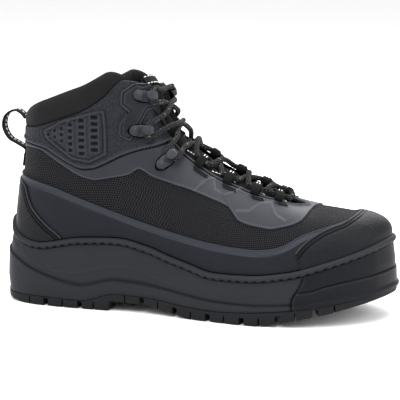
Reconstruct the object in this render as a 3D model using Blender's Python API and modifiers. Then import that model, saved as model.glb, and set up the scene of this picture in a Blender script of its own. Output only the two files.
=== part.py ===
"""Wading boot for a right foot, standing empty on its sole.

Metres, +X toward the toe, -Y to the outer (lateral) side, +Z up. The origin lies on the floor
under the middle of the heel. One loop runs round the whole boot: it starts at the back of the
heel, passes the lateral side, the toe and the medial side, and every piece is worked out from it.
"""
import math
from collections import namedtuple

import bmesh
import bpy
import numpy as np
from mathutils import Matrix

# Main sizes
SOLE_LENGTH = 0.325
BALL_WIDTH = 0.116
HEEL_STACK = 0.060
SHAFT_RISE = 0.130
HEEL_SETBACK = 0.047

# Walls, layers and clearances
GAP = 0.0003
UPPER_WALL = 0.0024
FEATHER_INSET = 0.006
RAND_FILM = 0.0008
TOE_CAP_WALL = 0.0014
EYESTAY_FILM = 0.0008
GUARD_WALL = 0.0012
HOOK_PLATE_WALL = 0.0010
TONGUE_THICKNESS = 0.0036
INSOLE_THICKNESS = 0.0040
COLLAR_THICKNESS = 0.0095
COLLAR_SEAT = 0.0005
COLLAR_FULL_HEIGHT = 0.013

# Sole details
WELT_HEIGHT = 0.0064
EDGE_ROUND = 0.0012
RIDGE_STEP = 0.0016
BUMPER_DEPTH = 0.0030
BUMPER_PROUD = 0.0007
CHANNEL_DEPTH = 0.0036
CHANNEL_WIDTH = 0.0036
LUG_REACH = 0.0130
NOTCH_DEPTH = 0.0042
NOTCH_WIDTH = 0.0042
CUTTER_REACH = 0.0100

# Trim
LACE_DIAMETER = 0.0042
WEBBING_THICKNESS = 0.0011
LOOP_WIDTH = 0.0090
PULL_LOOP_WIDTH = 0.0110
PULL_LOOP_WALL = 0.0015
PULL_LOOP_REACH = 0.0195
PULL_LOOP_HEIGHT = 0.0315
KEEPER_WIDTH = 0.0085
RIVET_DIAMETER = 0.0085
RIVET_HEIGHT = 0.0022
HOOK_LENGTH = 0.0190
HOOK_WIDTH = 0.0084
HOOK_SHEET = 0.0012
HOOK_HEIGHT = 0.0066
LACE_CLEARANCE = 0.0007

# Sole outline and heights at each station: along is a share of the sole's length, lateral and
# medial are shares of the ball's width, and the rest are shares of the heel's stack.
SoleStation = namedtuple(
    "SoleStation", "name along lateral medial taper floor tread ridge feather")
SOLE = (
    SoleStation("heel back", 0.000, 0.000, 0.000, 0.028, 0.050, 0.120, 0.700, 1.130),
    SoleStation("heel corner", 0.034, 0.233, 0.224, 0.018, 0.013, 0.112, 0.633, 0.967),
    SoleStation("heel side", 0.114, 0.341, 0.323, 0.006, 0.000, 0.117, 0.450, 0.867),
    SoleStation("rear quarter", 0.231, 0.371, 0.328, 0.000, 0.000, 0.105, 0.292, 0.975),
    SoleStation("waist", 0.323, 0.375, 0.309, 0.000, 0.000, 0.225, 0.400, 1.000),
    SoleStation("shank", 0.403, 0.392, 0.309, 0.000, 0.000, 0.217, 0.383, 0.925),
    SoleStation("facing", 0.458, 0.418, 0.330, 0.000, 0.000, 0.192, 0.350, 0.833),
    SoleStation("low instep", 0.514, 0.448, 0.358, 0.000, 0.000, 0.158, 0.308, 0.750),
    SoleStation("instep", 0.591, 0.491, 0.409, 0.000, 0.000, 0.142, 0.267, 0.658),
    SoleStation("ball", 0.683, 0.522, 0.461, 0.000, 0.000, 0.167, 0.258, 0.667),
    SoleStation("tread break", 0.778, 0.507, 0.487, 0.000, 0.075, 0.217, 0.283, 0.733),
    SoleStation("toe side", 0.871, 0.427, 0.466, 0.000, 0.180, 0.290, 0.350, 0.875),
    SoleStation("toe corner", 0.935, 0.310, 0.397, 0.004, 0.265, 0.350, 0.400, 0.980),
    SoleStation("toe front", 0.978, 0.155, 0.284, 0.008, 0.315, 0.390, 0.435, 1.060),
    SoleStation("toe tip", 1.000, -0.069, 0.069, 0.010, 0.333, 0.405, 0.450, 1.100),
)

# Upper at the same stations. Each section is a curve from the feather edge to the top edge.
# edge_along is a share of the sole's length, lateral and medial of the ball's width; edge_up is
# the height of the top edge over the feather, as a share of the shaft's rise, and the medial
# side is lower by drop. The wall leaves the feather with a handle of rise and swell and meets
# the edge with one of fall and spread.
UpperStation = namedtuple(
    "UpperStation", "name edge_along lateral medial edge_up drop rise swell fall spread collar")
UPPER = (
    UpperStation("heel back", 0.054, 0.000, 0.000, 0.575, 0.000, 0.200, -0.020, 0.230, 0.010, 0.095),
    UpperStation("heel corner", 0.076, 0.190, 0.190, 0.660, 0.000, 0.215, -0.014, 0.230, 0.009, 0.125),
    UpperStation("heel side", 0.126, 0.312, 0.312, 0.730, 0.010, 0.230, -0.010, 0.246, 0.010, 0.155),
    UpperStation("rear quarter", 0.218, 0.345, 0.325, 0.762, 0.022, 0.260, -0.008, 0.260, 0.009, 0.158),
    UpperStation("ankle", 0.292, 0.332, 0.298, 0.858, 0.038, 0.290, -0.009, 0.310, 0.000, 0.142),
    UpperStation("shaft front", 0.343, 0.283, 0.232, 1.005, 0.046, 0.310, 0.000, 0.285, 0.040, 0.024),
    UpperStation("facing top", 0.388, 0.165, 0.140, 1.012, 0.034, 0.345, 0.000, 0.170, 0.120, 0.000),
    UpperStation("facing", 0.415, 0.130, 0.115, 0.854, 0.016, 0.345, 0.000, 0.075, 0.138, 0.000),
    UpperStation("instep notch", 0.461, 0.138, 0.138, 0.715, 0.000, 0.250, 0.009, 0.090, 0.155, 0.000),
    UpperStation("ball", 0.548, 0.160, 0.160, 0.558, 0.000, 0.200, 0.010, 0.092, 0.172, 0.000),
    UpperStation("throat", 0.634, 0.152, 0.152, 0.434, 0.000, 0.165, 0.010, 0.077, 0.172, 0.000),
    UpperStation("low throat", 0.702, 0.125, 0.125, 0.313, 0.000, 0.150, 0.013, 0.060, 0.190, 0.000),
    UpperStation("throat end", 0.748, 0.078, 0.078, 0.230, 0.000, 0.140, 0.014, 0.048, 0.241, 0.000),
    UpperStation("vamp", 0.769, 0.034, 0.034, 0.185, 0.000, 0.136, 0.015, 0.045, 0.284, 0.000),
    UpperStation("toe tip", 0.775, 0.000, 0.000, 0.166, 0.000, 0.135, 0.015, 0.045, 0.302, 0.000),
)

# Side outlines of the overlays: along is a share of the sole's length, up is the height over the
# heel's stack as a share of the shaft's rise.
Corner = namedtuple("Corner", "along up")
BEHIND = -0.10
AHEAD = 1.10
UNDER = -0.46
ABOVE = 1.30
RAND_TOP = (
    Corner(BEHIND, 0.365), Corner(0.045, 0.350), Corner(0.114, 0.323), Corner(0.163, 0.292),
    Corner(0.222, 0.238), Corner(0.323, 0.154), Corner(0.425, 0.085), Corner(0.551, 0.023),
    Corner(0.646, 0.000), Corner(0.698, -0.008), Corner(0.745, 0.010), Corner(0.772, 0.042),
    Corner(0.800, 0.088), Corner(0.850, 0.123), Corner(0.905, 0.158), Corner(0.945, 0.240),
    Corner(AHEAD, 0.240))
TOE_CAP_EDGE = (
    Corner(0.757, UNDER), Corner(0.764, -0.150), Corner(0.778, -0.062), Corner(0.797, 0.015),
    Corner(0.820, 0.069), Corner(0.852, 0.115), Corner(0.900, 0.146), Corner(0.935, 0.240),
    Corner(AHEAD, 0.240))
COUNTER_EDGE = (
    Corner(BEHIND, 0.308), Corner(0.040, 0.308), Corner(0.080, 0.300), Corner(0.092, 0.177),
    Corner(0.117, 0.100), Corner(0.145, 0.038), Corner(0.169, 0.000), Corner(0.195, -0.060),
    Corner(0.195, UNDER))
GUARD_LOW_EDGE = (
    Corner(BEHIND, 0.570), Corner(0.126, 0.558), Corner(0.175, 0.485), Corner(0.225, 0.419),
    Corner(0.258, 0.415), Corner(0.292, 0.446), Corner(0.342, 0.515), Corner(0.391, 0.554),
    Corner(0.449, 0.585), Corner(0.520, 0.640))
EYESTAY_LOW_EDGE = (
    Corner(0.225, 0.372), Corner(0.268, 0.345), Corner(0.360, 0.392), Corner(0.385, 0.440),
    Corner(0.415, 0.392), Corner(0.477, 0.346), Corner(0.535, 0.300), Corner(0.594, 0.246),
    Corner(0.621, 0.215), Corner(0.625, 0.169), Corner(0.665, 0.131), Corner(0.723, 0.108),
    Corner(0.775, 0.135), Corner(0.798, 0.165), Corner(0.804, 0.400))
HOOK_PLATE = (
    Corner(0.357, 0.946), Corner(0.335, 0.900), Corner(0.335, 0.823), Corner(0.357, 0.769),
    Corner(0.354, 0.738), Corner(0.335, 0.708), Corner(0.335, 0.631), Corner(0.363, 0.600),
    Corner(0.405, 0.620), Corner(0.520, 0.740), Corner(0.520, 0.946))

# Side outlines on the sole: along is a share of its length, height of the heel's stack
SoleCorner = namedtuple("SoleCorner", "along height")
BUMPER_SEAM = (
    SoleCorner(0.824, 1.400), SoleCorner(0.818, 0.827), SoleCorner(0.815, 0.649),
    SoleCorner(0.806, 0.517), SoleCorner(0.791, 0.400), SoleCorner(0.788, 0.333),
    SoleCorner(0.791, 0.233), SoleCorner(0.797, 0.003))
BUMPER_FRONT = (SoleCorner(AHEAD, 0.003), SoleCorner(AHEAD, 1.400))
ARCH = (
    SoleCorner(0.3046, -0.040), SoleCorner(0.3092, 0.125), SoleCorner(0.400, 0.125),
    SoleCorner(0.440, 0.079), SoleCorner(0.515, 0.000), SoleCorner(0.515, -0.040))

# Side of the midsole from the tread up: out is a share of the ridge's step, height runs from 0 at
# the tread to 1 at the ridge and 2 at the welt, and taper is the share of the outline's taper.
SidePoint = namedtuple("SidePoint", "out height taper")
MIDSOLE_SIDE = (
    SidePoint(-0.50, 0.00, 0.0), SidePoint(0.25, 0.35, 0.0), SidePoint(0.50, 1.00, 0.4),
    SidePoint(-0.50, 1.05, 0.4), SidePoint(-0.75, 1.62, 0.8), SidePoint(-1.60, 2.00, 1.0))
# Side of the welt from its foot up, in shares of its height
WELT_SIDE = (
    SidePoint(-0.38, 0.05, 1.0), SidePoint(-0.12, 0.23, 1.0), SidePoint(-0.03, 0.54, 1.0),
    SidePoint(-0.16, 0.79, 1.0), SidePoint(-0.44, 0.93, 1.0))
WELT_INNER_TOP = 0.86

# Tread: rows of notches and of channels, in shares of the sole's length
TreadRow = namedtuple("TreadRow", "first pitch count")
NOTCH_ROWS = (TreadRow(0.138, 0.092, 2), TreadRow(0.3965, 0.089, 6))
CHANNEL_ROWS = (TreadRow(0.101, 0.088, 2), TreadRow(0.440, 0.0665, 7))
# Where a notch ends in the ring channel and where a channel starts, in shares of its width
NOTCH_END = 0.4
CHANNEL_START = 0.6

# Cross-section of the collar: across is a share of its thickness, up of its height
CollarPoint = namedtuple("CollarPoint", "across up")
COLLAR_SHAPE = (
    CollarPoint(0.00, 0.00), CollarPoint(-0.14, 0.35), CollarPoint(-0.08, 0.70),
    CollarPoint(0.16, 0.93), CollarPoint(0.48, 1.00), CollarPoint(0.80, 0.90),
    CollarPoint(1.00, 0.62), CollarPoint(1.00, 0.28), CollarPoint(0.80, 0.00))
COLLAR_THIN_END = 0.35

# Lacing: webbing loops by their station on the throat's edge, front to back, and hooks by their
# place in the side view, the turn of their mouth in degrees and where their lace leaves the edge
LOOP_STATIONS = (11.25, 10.35, 9.50, 8.70)
TOP_BAR_STATION = 6.25
CROSSING_BACK = 0.10
Hook = namedtuple("Hook", "name along up turn edge face")
HOOKS = (
    Hook("low", 0.450, 0.485, 50, 8.00, "eyestay"),
    Hook("middle", 0.387, 0.665, 5, 7.20, "plate"),
    Hook("top", 0.383, 0.862, 5, 6.45, "plate"))
# Side shape of a webbing loop in shares of its width: across from the throat's edge toward the
# tongue and up from the wall. The lace passes through it at its own point.
WebPoint = namedtuple("WebPoint", "across up")
LOOP_SHAPE = (
    WebPoint(-0.72, 0.290), WebPoint(0.00, 0.280), WebPoint(0.55, 0.10), WebPoint(0.95, 0.17),
    WebPoint(1.00, 0.51), WebPoint(0.52, 0.77), WebPoint(-0.22, 0.71), WebPoint(-0.78, 0.49))
LACE_IN_LOOP = WebPoint(0.47, 0.42)
# Side shape of a hook in shares of half its length and of its height, and its rivet's place
HookPoint = namedtuple("HookPoint", "along up")
HOOK_OUTER = (
    HookPoint(-1.00, 0.00), HookPoint(0.68, 0.00), HookPoint(0.94, 0.18), HookPoint(1.00, 0.50),
    HookPoint(0.91, 0.84), HookPoint(0.66, 1.00), HookPoint(0.06, 0.88))
RIVET_ALONG = -0.52
RIVET_TOP = 0.72
# Where a lace leaves the throat's edge beside its hook, in stations, and where it starts and
# passes on its way from the hook to the edge
LACE_LEAVES = 0.20
LACE_ON_WALL = (0.90, 1.00)
LACE_LIFTS = (1.0, 2.4)
# Side shape of the pull loop in shares of its reach behind the heel and of its height
PullPoint = namedtuple("PullPoint", "out up")
PULL_SHAPE = (
    PullPoint(0.38, 0.14), PullPoint(0.69, 0.24), PullPoint(0.90, 0.40), PullPoint(1.00, 0.61),
    PullPoint(0.92, 0.83), PullPoint(0.67, 0.97), PullPoint(0.38, 1.00), PullPoint(0.15, 0.92))
PULL_TAIL = (0.56, 0.62, 0.68, 0.75)
# Tongue: how far its middle stands out of the throat at each station, in shares of the ball's
# width, and its free top over the throat.
TongueRow = namedtuple("TongueRow", "station crown tuck")
TONGUE = (
    TongueRow(6.00, 0.030, 0.93), TongueRow(6.50, 0.045, 0.93), TongueRow(7.00, 0.050, 0.92),
    TongueRow(7.50, 0.052, 0.90), TongueRow(8.00, 0.054, 0.88), TongueRow(8.50, 0.056, 0.88),
    TongueRow(9.00, 0.056, 0.87), TongueRow(9.50, 0.054, 0.87), TongueRow(10.00, 0.050, 0.87),
    TongueRow(10.50, 0.042, 0.87), TongueRow(11.00, 0.032, 0.87), TongueRow(11.50, 0.022, 0.87),
    TongueRow(12.00, 0.012, 0.88), TongueRow(12.50, 0.004, 0.90))
TONGUE_TOP_RISE = 0.006
TONGUE_TOP_LEAN = 0.004
TONGUE_TOP_NARROW = 0.92

# Fineness of the meshes: steps between one station and the next, and rows up the wall
STEPS = (3, 2, 2, 1, 2, 2, 1, 1, 2, 1, 2, 2, 2, 2)
COLLAR_END = 5
EXTRA_POINTS = 2
WALL_ROWS = np.array([0.0, 0.14, 0.29, 0.44, 0.59, 0.74, 0.88, 1.0])

LAST = len(SOLE) - 1
KNOTS = 2 * LAST
HEEL_BACK_X = -HEEL_SETBACK
GUARD_FACE = GAP + GUARD_WALL
PLATE_SEAT = GUARD_FACE + 2 * GAP
PLATE_FACE = PLATE_SEAT + HOOK_PLATE_WALL
EYESTAY_FACE = GAP + EYESTAY_FILM


def start_collections():
    """Empty the scene and make one collection for the boot and one for its cutters."""
    for thing in list(bpy.data.objects):
        bpy.data.objects.remove(thing)
    for name in ("wading_boot", "cutters"):
        bpy.context.scene.collection.children.link(bpy.data.collections.new(name))


def material(name, color, roughness, metallic=0.0):
    """A Principled material of one plain colour."""
    made = bpy.data.materials.new(name)
    made.use_nodes = True
    shader = made.node_tree.nodes["Principled BSDF"]
    shader.inputs["Base Color"].default_value = (*color, 1.0)
    shader.inputs["Roughness"].default_value = roughness
    shader.inputs["Metallic"].default_value = metallic
    return made


# The loop round the boot

def mirrored(table, column):
    """A column's values round the loop: lateral rows forward, then medial rows back."""
    values = [getattr(row, column) for row in table]
    return np.array(values + values[-2:0:-1])


def two_sided(table, lateral, medial):
    """Values across the boot, negative on the lateral side and positive on the medial."""
    outer = [-getattr(row, lateral) for row in table]
    inner = [getattr(row, medial) for row in table]
    return np.array(outer + inner[-2:0:-1])


def ease(knots, u):
    """A smooth closed curve through the knots that never overshoots them."""
    step = np.roll(knots, -1) - knots
    before = np.roll(step, 1)
    total = np.where(step * before > 0, step + before, 1.0)
    slope = np.where(step * before > 0, 2 * step * before / total, 0.0)
    first = np.floor(u).astype(int)
    t = u - first
    i = first % len(knots)
    j = (i + 1) % len(knots)
    return ((2 * t**3 - 3 * t**2 + 1) * knots[i] + (t**3 - 2 * t**2 + t) * slope[i]
            + (3 * t**2 - 2 * t**3) * knots[j] + (t**3 - t**2) * slope[j])


def stack(x, y, z):
    """Points from three arrays of one shape."""
    return np.stack(np.broadcast_arrays(x, y, z), axis=-1)


def plan(u):
    """Sole outline seen from above."""
    x = HEEL_BACK_X + SOLE_LENGTH * ease(mirrored(SOLE, "along"), u)
    y = BALL_WIDTH * ease(two_sided(SOLE, "lateral", "medial"), u)
    return x, y


def outward(u):
    """Unit direction out of the sole outline."""
    step = 0.05
    x_after, y_after = plan(u + step)
    x_before, y_before = plan(u - step)
    dx = x_after - x_before
    dy = y_after - y_before
    size = np.hypot(dx, dy)
    return dy / size, -dx / size


def level(column, u):
    """Height of one of the sole's lines."""
    return HEEL_STACK * ease(mirrored(SOLE, column), u)


def outline(u, offset, z, taper=0.0):
    """Points of the sole outline moved out by offset and in by a share of the taper."""
    x, y = plan(u)
    nx, ny = outward(u)
    reach = offset - taper * BALL_WIDTH * ease(mirrored(SOLE, "taper"), u)
    return stack(x + nx * reach, y + ny * reach, z)


def wall(u, t):
    """Outer face of the upper: u round the loop, t from 0 at the welt to 1 at the top edge."""
    feather = outline(u, -FEATHER_INSET, level("feather", u), 1.0)
    out = stack(*outward(u), 0.0)
    up = np.array([0.0, 0.0, 1.0])

    def share(column):
        return ease(mirrored(UPPER, column), u)[..., None]

    across = ease(two_sided(UPPER, "lateral", "medial"), u)
    top_x = HEEL_BACK_X + SOLE_LENGTH * share("edge_along")[..., 0]
    drop = np.where(np.mod(u, KNOTS) > LAST, share("drop")[..., 0], 0.0)
    top_z = level("feather", u) + SHAFT_RISE * (share("edge_up")[..., 0] - drop)
    edge = stack(top_x, BALL_WIDTH * across, top_z)
    low = feather + out * BALL_WIDTH * share("swell") + up * SHAFT_RISE * share("rise")
    high = edge + out * BALL_WIDTH * share("spread") - up * SHAFT_RISE * share("fall")
    t = np.asarray(t)[..., None]
    return ((1 - t)**3 * feather + 3 * t * (1 - t)**2 * low
            + 3 * t**2 * (1 - t) * high + t**3 * edge)


def unit(vectors):
    """Vectors scaled to length 1."""
    return vectors / np.linalg.norm(vectors, axis=-1, keepdims=True)


def wall_normal(u, t):
    """Unit direction out of the upper's outer face."""
    step = 0.02
    inner = np.minimum(t, 1 - step)
    around = wall(u + step, t) - wall(u - step, t)
    rise = wall(u, inner + step) - wall(u, inner - step * (inner > step))
    return unit(np.cross(around, rise))


def on_wall(u, t, lift):
    """Point over the upper's outer face by lift."""
    u = np.asarray(u, dtype=float)
    t = np.asarray(t, dtype=float)
    return wall(u, t) + wall_normal(u, t) * lift


def faceted_wall(u, t, lift):
    """Point of a skin as its flat faces run between the mesh's columns and rows."""
    columns = np.append(AROUND, KNOTS)
    i = np.clip(np.searchsorted(columns, u, side="right") - 1, 0, len(AROUND) - 1)
    j = np.clip(np.searchsorted(WALL_ROWS, t, side="right") - 1, 0, len(WALL_ROWS) - 2)
    a = ((u - columns[i]) / (columns[i + 1] - columns[i]))[..., None]
    b = ((t - WALL_ROWS[j]) / (WALL_ROWS[j + 1] - WALL_ROWS[j]))[..., None]
    start = on_wall(columns[i], WALL_ROWS[j], lift)
    end = on_wall(columns[i + 1], WALL_ROWS[j + 1], lift)
    corner = on_wall(columns[i + (a > b)[..., 0]], WALL_ROWS[j + (a <= b)[..., 0]], lift)
    return start + np.where(a > b, a * (corner - start) + b * (end - corner),
                            b * (corner - start) + a * (end - corner))


def side_point(corner):
    """X and Z of an outline corner on the upper or on the sole."""
    x = HEEL_BACK_X + SOLE_LENGTH * corner.along
    if isinstance(corner, SoleCorner):
        return x, HEEL_STACK * corner.height
    return x, HEEL_STACK + SHAFT_RISE * corner.up


def spot(along, up):
    """Loop position of the lateral wall's point that shows at these shares in the side view."""
    u, t = np.meshgrid(np.linspace(0.5, LAST - 0.5, 160), np.linspace(0, 1, 120), indexing="ij")
    points = wall(u, t)
    x, z = side_point(Corner(along, up))
    nearest = np.argmin((points[..., 0] - x)**2 + (points[..., 2] - z)**2)
    return u.flat[nearest], t.flat[nearest]


def loop_positions():
    """Places round the loop, closer together where the boot turns."""
    half = [station + step / count for station, count in enumerate(STEPS) for step in range(count)]
    return np.array(half + [LAST] + [KNOTS - u for u in half[:0:-1]])


AROUND = loop_positions()


# Meshes

def dress(made, finish):
    """Put an object in the boot's collection with its material, or with the cutters."""
    home = "wading_boot"
    if finish is None:
        home = "cutters"
        made.hide_render = True
        made.display_type = "WIRE"
    else:
        made.data.materials.append(finish)
        made.data.shade_smooth()
        made.data.set_sharp_from_angle(angle=math.radians(40))
    bpy.data.collections[home].objects.link(made)


def add_object(name, vertices, faces, finish=None):
    """An object of the given vertices and faces."""
    mesh = bpy.data.meshes.new(name)
    mesh.from_pydata([tuple(v) for v in vertices], [], faces)
    made = bpy.data.objects.new(name, mesh)
    dress(made, finish)
    return made


def ring_faces(count, rings):
    """Triangles between closed rings of count points, with all diagonals the same way."""
    faces = []
    for ring in range(rings - 1):
        for i in range(count):
            j = (i + 1) % count
            low = ring * count
            high = low + count
            faces.append((low + i, low + j, high + j))
            faces.append((low + i, high + j, high + i))
    return faces


def cap_faces(count, start, facing_up):
    """Triangles across a ring, from each lateral point to its medial partner."""
    faces = []
    for i in range(count // 2):
        near, far = start + i, start + i + 1
        near_partner = start + (count - i) % count
        far_partner = start + count - i - 1
        strip = [(near, far, far_partner), (near, far_partner, near_partner)]
        for a, b, c in strip:
            if len({a, b, c}) == 3:
                faces.append((a, b, c) if facing_up else (a, c, b))
    return faces


def slab(name, rings, finish=None):
    """A solid of stacked rings, bottom to top, closed across at both ends."""
    count = len(rings[0])
    faces = ring_faces(count, len(rings))
    faces += cap_faces(count, 0, False)
    faces += cap_faces(count, count * (len(rings) - 1), True)
    return add_object(name, np.concatenate(rings), faces, finish)


def band(name, rings, finish=None):
    """A closed tube round the boot: its rings run up the outer side and down the inner."""
    count = len(rings[0])
    closed = list(rings) + [rings[0]]
    faces = []
    total = count * len(rings)
    for face in ring_faces(count, len(closed)):
        faces.append(tuple(index % total for index in face))
    return add_object(name, np.concatenate(rings), faces, finish)


def skin(name, lift, thickness, finish):
    """A shell over the whole upper, its inner face lifted off the wall."""
    u, t = np.meshgrid(AROUND, WALL_ROWS, indexing="ij")
    points = on_wall(u, t, lift)
    rings = [points[:, row] for row in range(len(WALL_ROWS))]
    faces = ring_faces(len(AROUND), len(rings))
    made = add_object(name, np.concatenate(rings), faces, finish)
    thicken(made, thickness, 1)
    return made


def thicken(thing, thickness, side):
    """Solidify to one side of the surface: 1 out, -1 in."""
    solid = thing.modifiers.new("thickness", "SOLIDIFY")
    solid.thickness = thickness
    solid.offset = side


def add_shape(name, shape, finish=None):
    """An object of a bmesh, in the boot's collection, or a cutter if it has no finish."""
    mesh = bpy.data.meshes.new(name)
    shape.to_mesh(mesh)
    shape.free()
    made = bpy.data.objects.new(name, mesh)
    dress(made, finish)
    return made


def extruded(points, y_from, y_to):
    """A bmesh of an outline in X and Z drawn out along Y."""
    shape = bmesh.new()
    face = shape.faces.new([shape.verts.new((x, y_from, z)) for x, z in points])
    pushed = bmesh.ops.extrude_face_region(shape, geom=[face])
    moved = [item for item in pushed["geom"] if isinstance(item, bmesh.types.BMVert)]
    bmesh.ops.translate(shape, verts=moved, vec=(0, y_to - y_from, 0))
    bmesh.ops.recalc_face_normals(shape, faces=shape.faces)
    return shape


def prism(name, corners, y_from=-0.2, y_to=0.2):
    """A cutter: the side outline drawn across the boot."""
    return add_shape(name, extruded([side_point(corner) for corner in corners], y_from, y_to))


def cut(thing, cutter, operation):
    """An exact Boolean of the thing with a cutter."""
    boolean = thing.modifiers.new(cutter.name, "BOOLEAN")
    boolean.operation = operation
    boolean.solver = "EXACT"
    boolean.object = cutter


def moved_corners(corners, up):
    """An upper's outline shifted up by a length."""
    return [Corner(c.along, c.up + up / SHAFT_RISE) for c in corners]


# Sole

def make_outsole(finish):
    floor = level("floor", AROUND)
    tread = level("tread", AROUND)
    rings = [outline(AROUND, -EDGE_ROUND, floor), outline(AROUND, 0.0, floor + EDGE_ROUND),
             outline(AROUND, -GAP, tread)]
    outsole = slab("outsole", rings, finish)
    cut(outsole, prism("arch_cutter", ARCH), "DIFFERENCE")
    knots = np.arange(0, KNOTS, 1.0)
    ceiling = level("floor", knots) + CHANNEL_DEPTH
    below = -CUTTER_REACH
    inner = -LUG_REACH - CHANNEL_WIDTH
    channel = band("ring_channel_cutter", [
        outline(knots, -LUG_REACH, below), outline(knots, -LUG_REACH, ceiling),
        outline(knots, inner, ceiling), outline(knots, inner, below)])
    cut(outsole, channel, "DIFFERENCE")
    cut(outsole, make_tread_cutter(), "DIFFERENCE")


def floor_line(x):
    """Height of the tread's underside at x, with the arch."""
    half = np.linspace(0, LAST, 281)
    line = np.interp(x, plan(half)[0], level("floor", half))
    arch = [side_point(corner) for corner in ARCH]
    raised = np.interp(x, [p[0] for p in arch], [p[1] for p in arch], left=0.0, right=0.0)
    return max(line, raised)


def add_box(shape, centre, size, angle=0.0):
    """A box in a bmesh, turned about Z."""
    matrix = Matrix.Translation(centre) @ Matrix.Rotation(angle, 4, "Z") @ Matrix.Diagonal(
        (*size, 1.0))
    bmesh.ops.create_cube(shape, size=1.0, matrix=matrix)


def stops(row):
    """X of each notch or channel in a row."""
    return [HEEL_BACK_X + SOLE_LENGTH * (row.first + row.pitch * i) for i in range(row.count)]


def make_tread_cutter():
    """Notches in from both edges and channels across the middle, as one cutter."""
    shape = bmesh.new()
    half = np.linspace(0, LAST, 281)
    for row in NOTCH_ROWS:
        for x in stops(row):
            top = floor_line(x) + NOTCH_DEPTH
            for side in (half, KNOTS - half):
                edge = np.interp(x, plan(side)[0], plan(side)[1])
                inner = edge - math.copysign(LUG_REACH + CHANNEL_WIDTH * NOTCH_END, edge)
                outer = edge + math.copysign(CUTTER_REACH, edge)
                centre = (x, (inner + outer) / 2, (top - CUTTER_REACH) / 2)
                add_box(shape, centre, (NOTCH_WIDTH, abs(outer - inner), top + CUTTER_REACH))
    for row in CHANNEL_ROWS:
        for x in stops(row):
            top = floor_line(x) + CHANNEL_DEPTH
            reach = LUG_REACH + CHANNEL_WIDTH * CHANNEL_START
            low = np.interp(x, plan(half)[0], plan(half)[1]) + reach
            high = np.interp(x, plan(KNOTS - half)[0], plan(KNOTS - half)[1]) - reach
            centre = (x, (low + high) / 2, (top - CUTTER_REACH) / 2)
            add_box(shape, centre, (CHANNEL_WIDTH, high - low, top + CUTTER_REACH))
    return add_shape("tread_cutter", shape)


def midsole_rings(proud):
    """Side of the midsole from the tread to the welt, moved out by proud."""
    levels = [level("tread", AROUND) + GAP, level("ridge", AROUND),
              level("feather", AROUND) - WELT_HEIGHT]
    rings = []
    for point in MIDSOLE_SIDE:
        part = min(int(point.height), 1)
        height = levels[part] + (levels[part + 1] - levels[part]) * (point.height - part)
        rings.append(outline(AROUND, proud + RIDGE_STEP * point.out, height, point.taper))
    return rings


def make_midsole(finish):
    midsole = slab("midsole", midsole_rings(0.0), finish)
    inner = -BUMPER_DEPTH - GAP
    low, high = BUMPER_SEAM[-1].height * HEEL_STACK, BUMPER_SEAM[0].height * HEEL_STACK
    pocket = band("bumper_pocket", [
        outline(AROUND, CUTTER_REACH, low), outline(AROUND, CUTTER_REACH, high),
        outline(AROUND, inner, high), outline(AROUND, inner, low)])
    behind = [SoleCorner(c.along - GAP / SOLE_LENGTH, c.height) for c in BUMPER_SEAM]
    seam = prism("pocket_seam", behind + list(BUMPER_FRONT))
    cut(pocket, seam, "INTERSECT")
    cut(midsole, pocket, "DIFFERENCE")


def make_toe_bumper(finish):
    low = level("tread", AROUND) + GAP
    top = level("feather", AROUND) - WELT_HEIGHT
    rings = midsole_rings(BUMPER_PROUD)
    rings += [outline(AROUND, -BUMPER_DEPTH, top), outline(AROUND, -BUMPER_DEPTH, low)]
    bumper = band("toe_bumper", rings, finish)
    cut(bumper, prism("bumper_seam", list(BUMPER_SEAM) + list(BUMPER_FRONT)), "INTERSECT")


def make_welt(finish):
    low = level("feather", AROUND) - WELT_HEIGHT
    inner = -FEATHER_INSET + 2 * GAP
    rings = [outline(AROUND, WELT_HEIGHT * point.out, low + WELT_HEIGHT * point.height, point.taper)
             for point in WELT_SIDE]
    rings.append(outline(AROUND, inner, low + WELT_HEIGHT * WELT_INNER_TOP, 1.0))
    rings.append(outline(AROUND, inner, low + WELT_HEIGHT * WELT_SIDE[0].height, 1.0))
    band("welt", rings, finish)


def make_insole(finish):
    inset = -FEATHER_INSET - UPPER_WALL - 2 * GAP
    low = level("feather", AROUND) - WELT_HEIGHT + GAP
    rings = [outline(AROUND, inset, low, 1.0),
             outline(AROUND, inset, low + INSOLE_THICKNESS, 1.0)]
    slab("insole", rings, finish)


# Upper

def make_upper(finish):
    u, t = np.meshgrid(AROUND, WALL_ROWS, indexing="ij")
    points = wall(u, t)
    foot_level = level("feather", AROUND) - WELT_HEIGHT + GAP
    foot = outline(AROUND, -FEATHER_INSET, foot_level, 1.0)
    rings = [foot] + [points[:, row] for row in range(len(WALL_ROWS))]
    upper = add_object("upper", np.concatenate(rings), ring_faces(len(AROUND), len(rings)), finish)
    thicken(upper, UPPER_WALL, -1)


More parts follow.
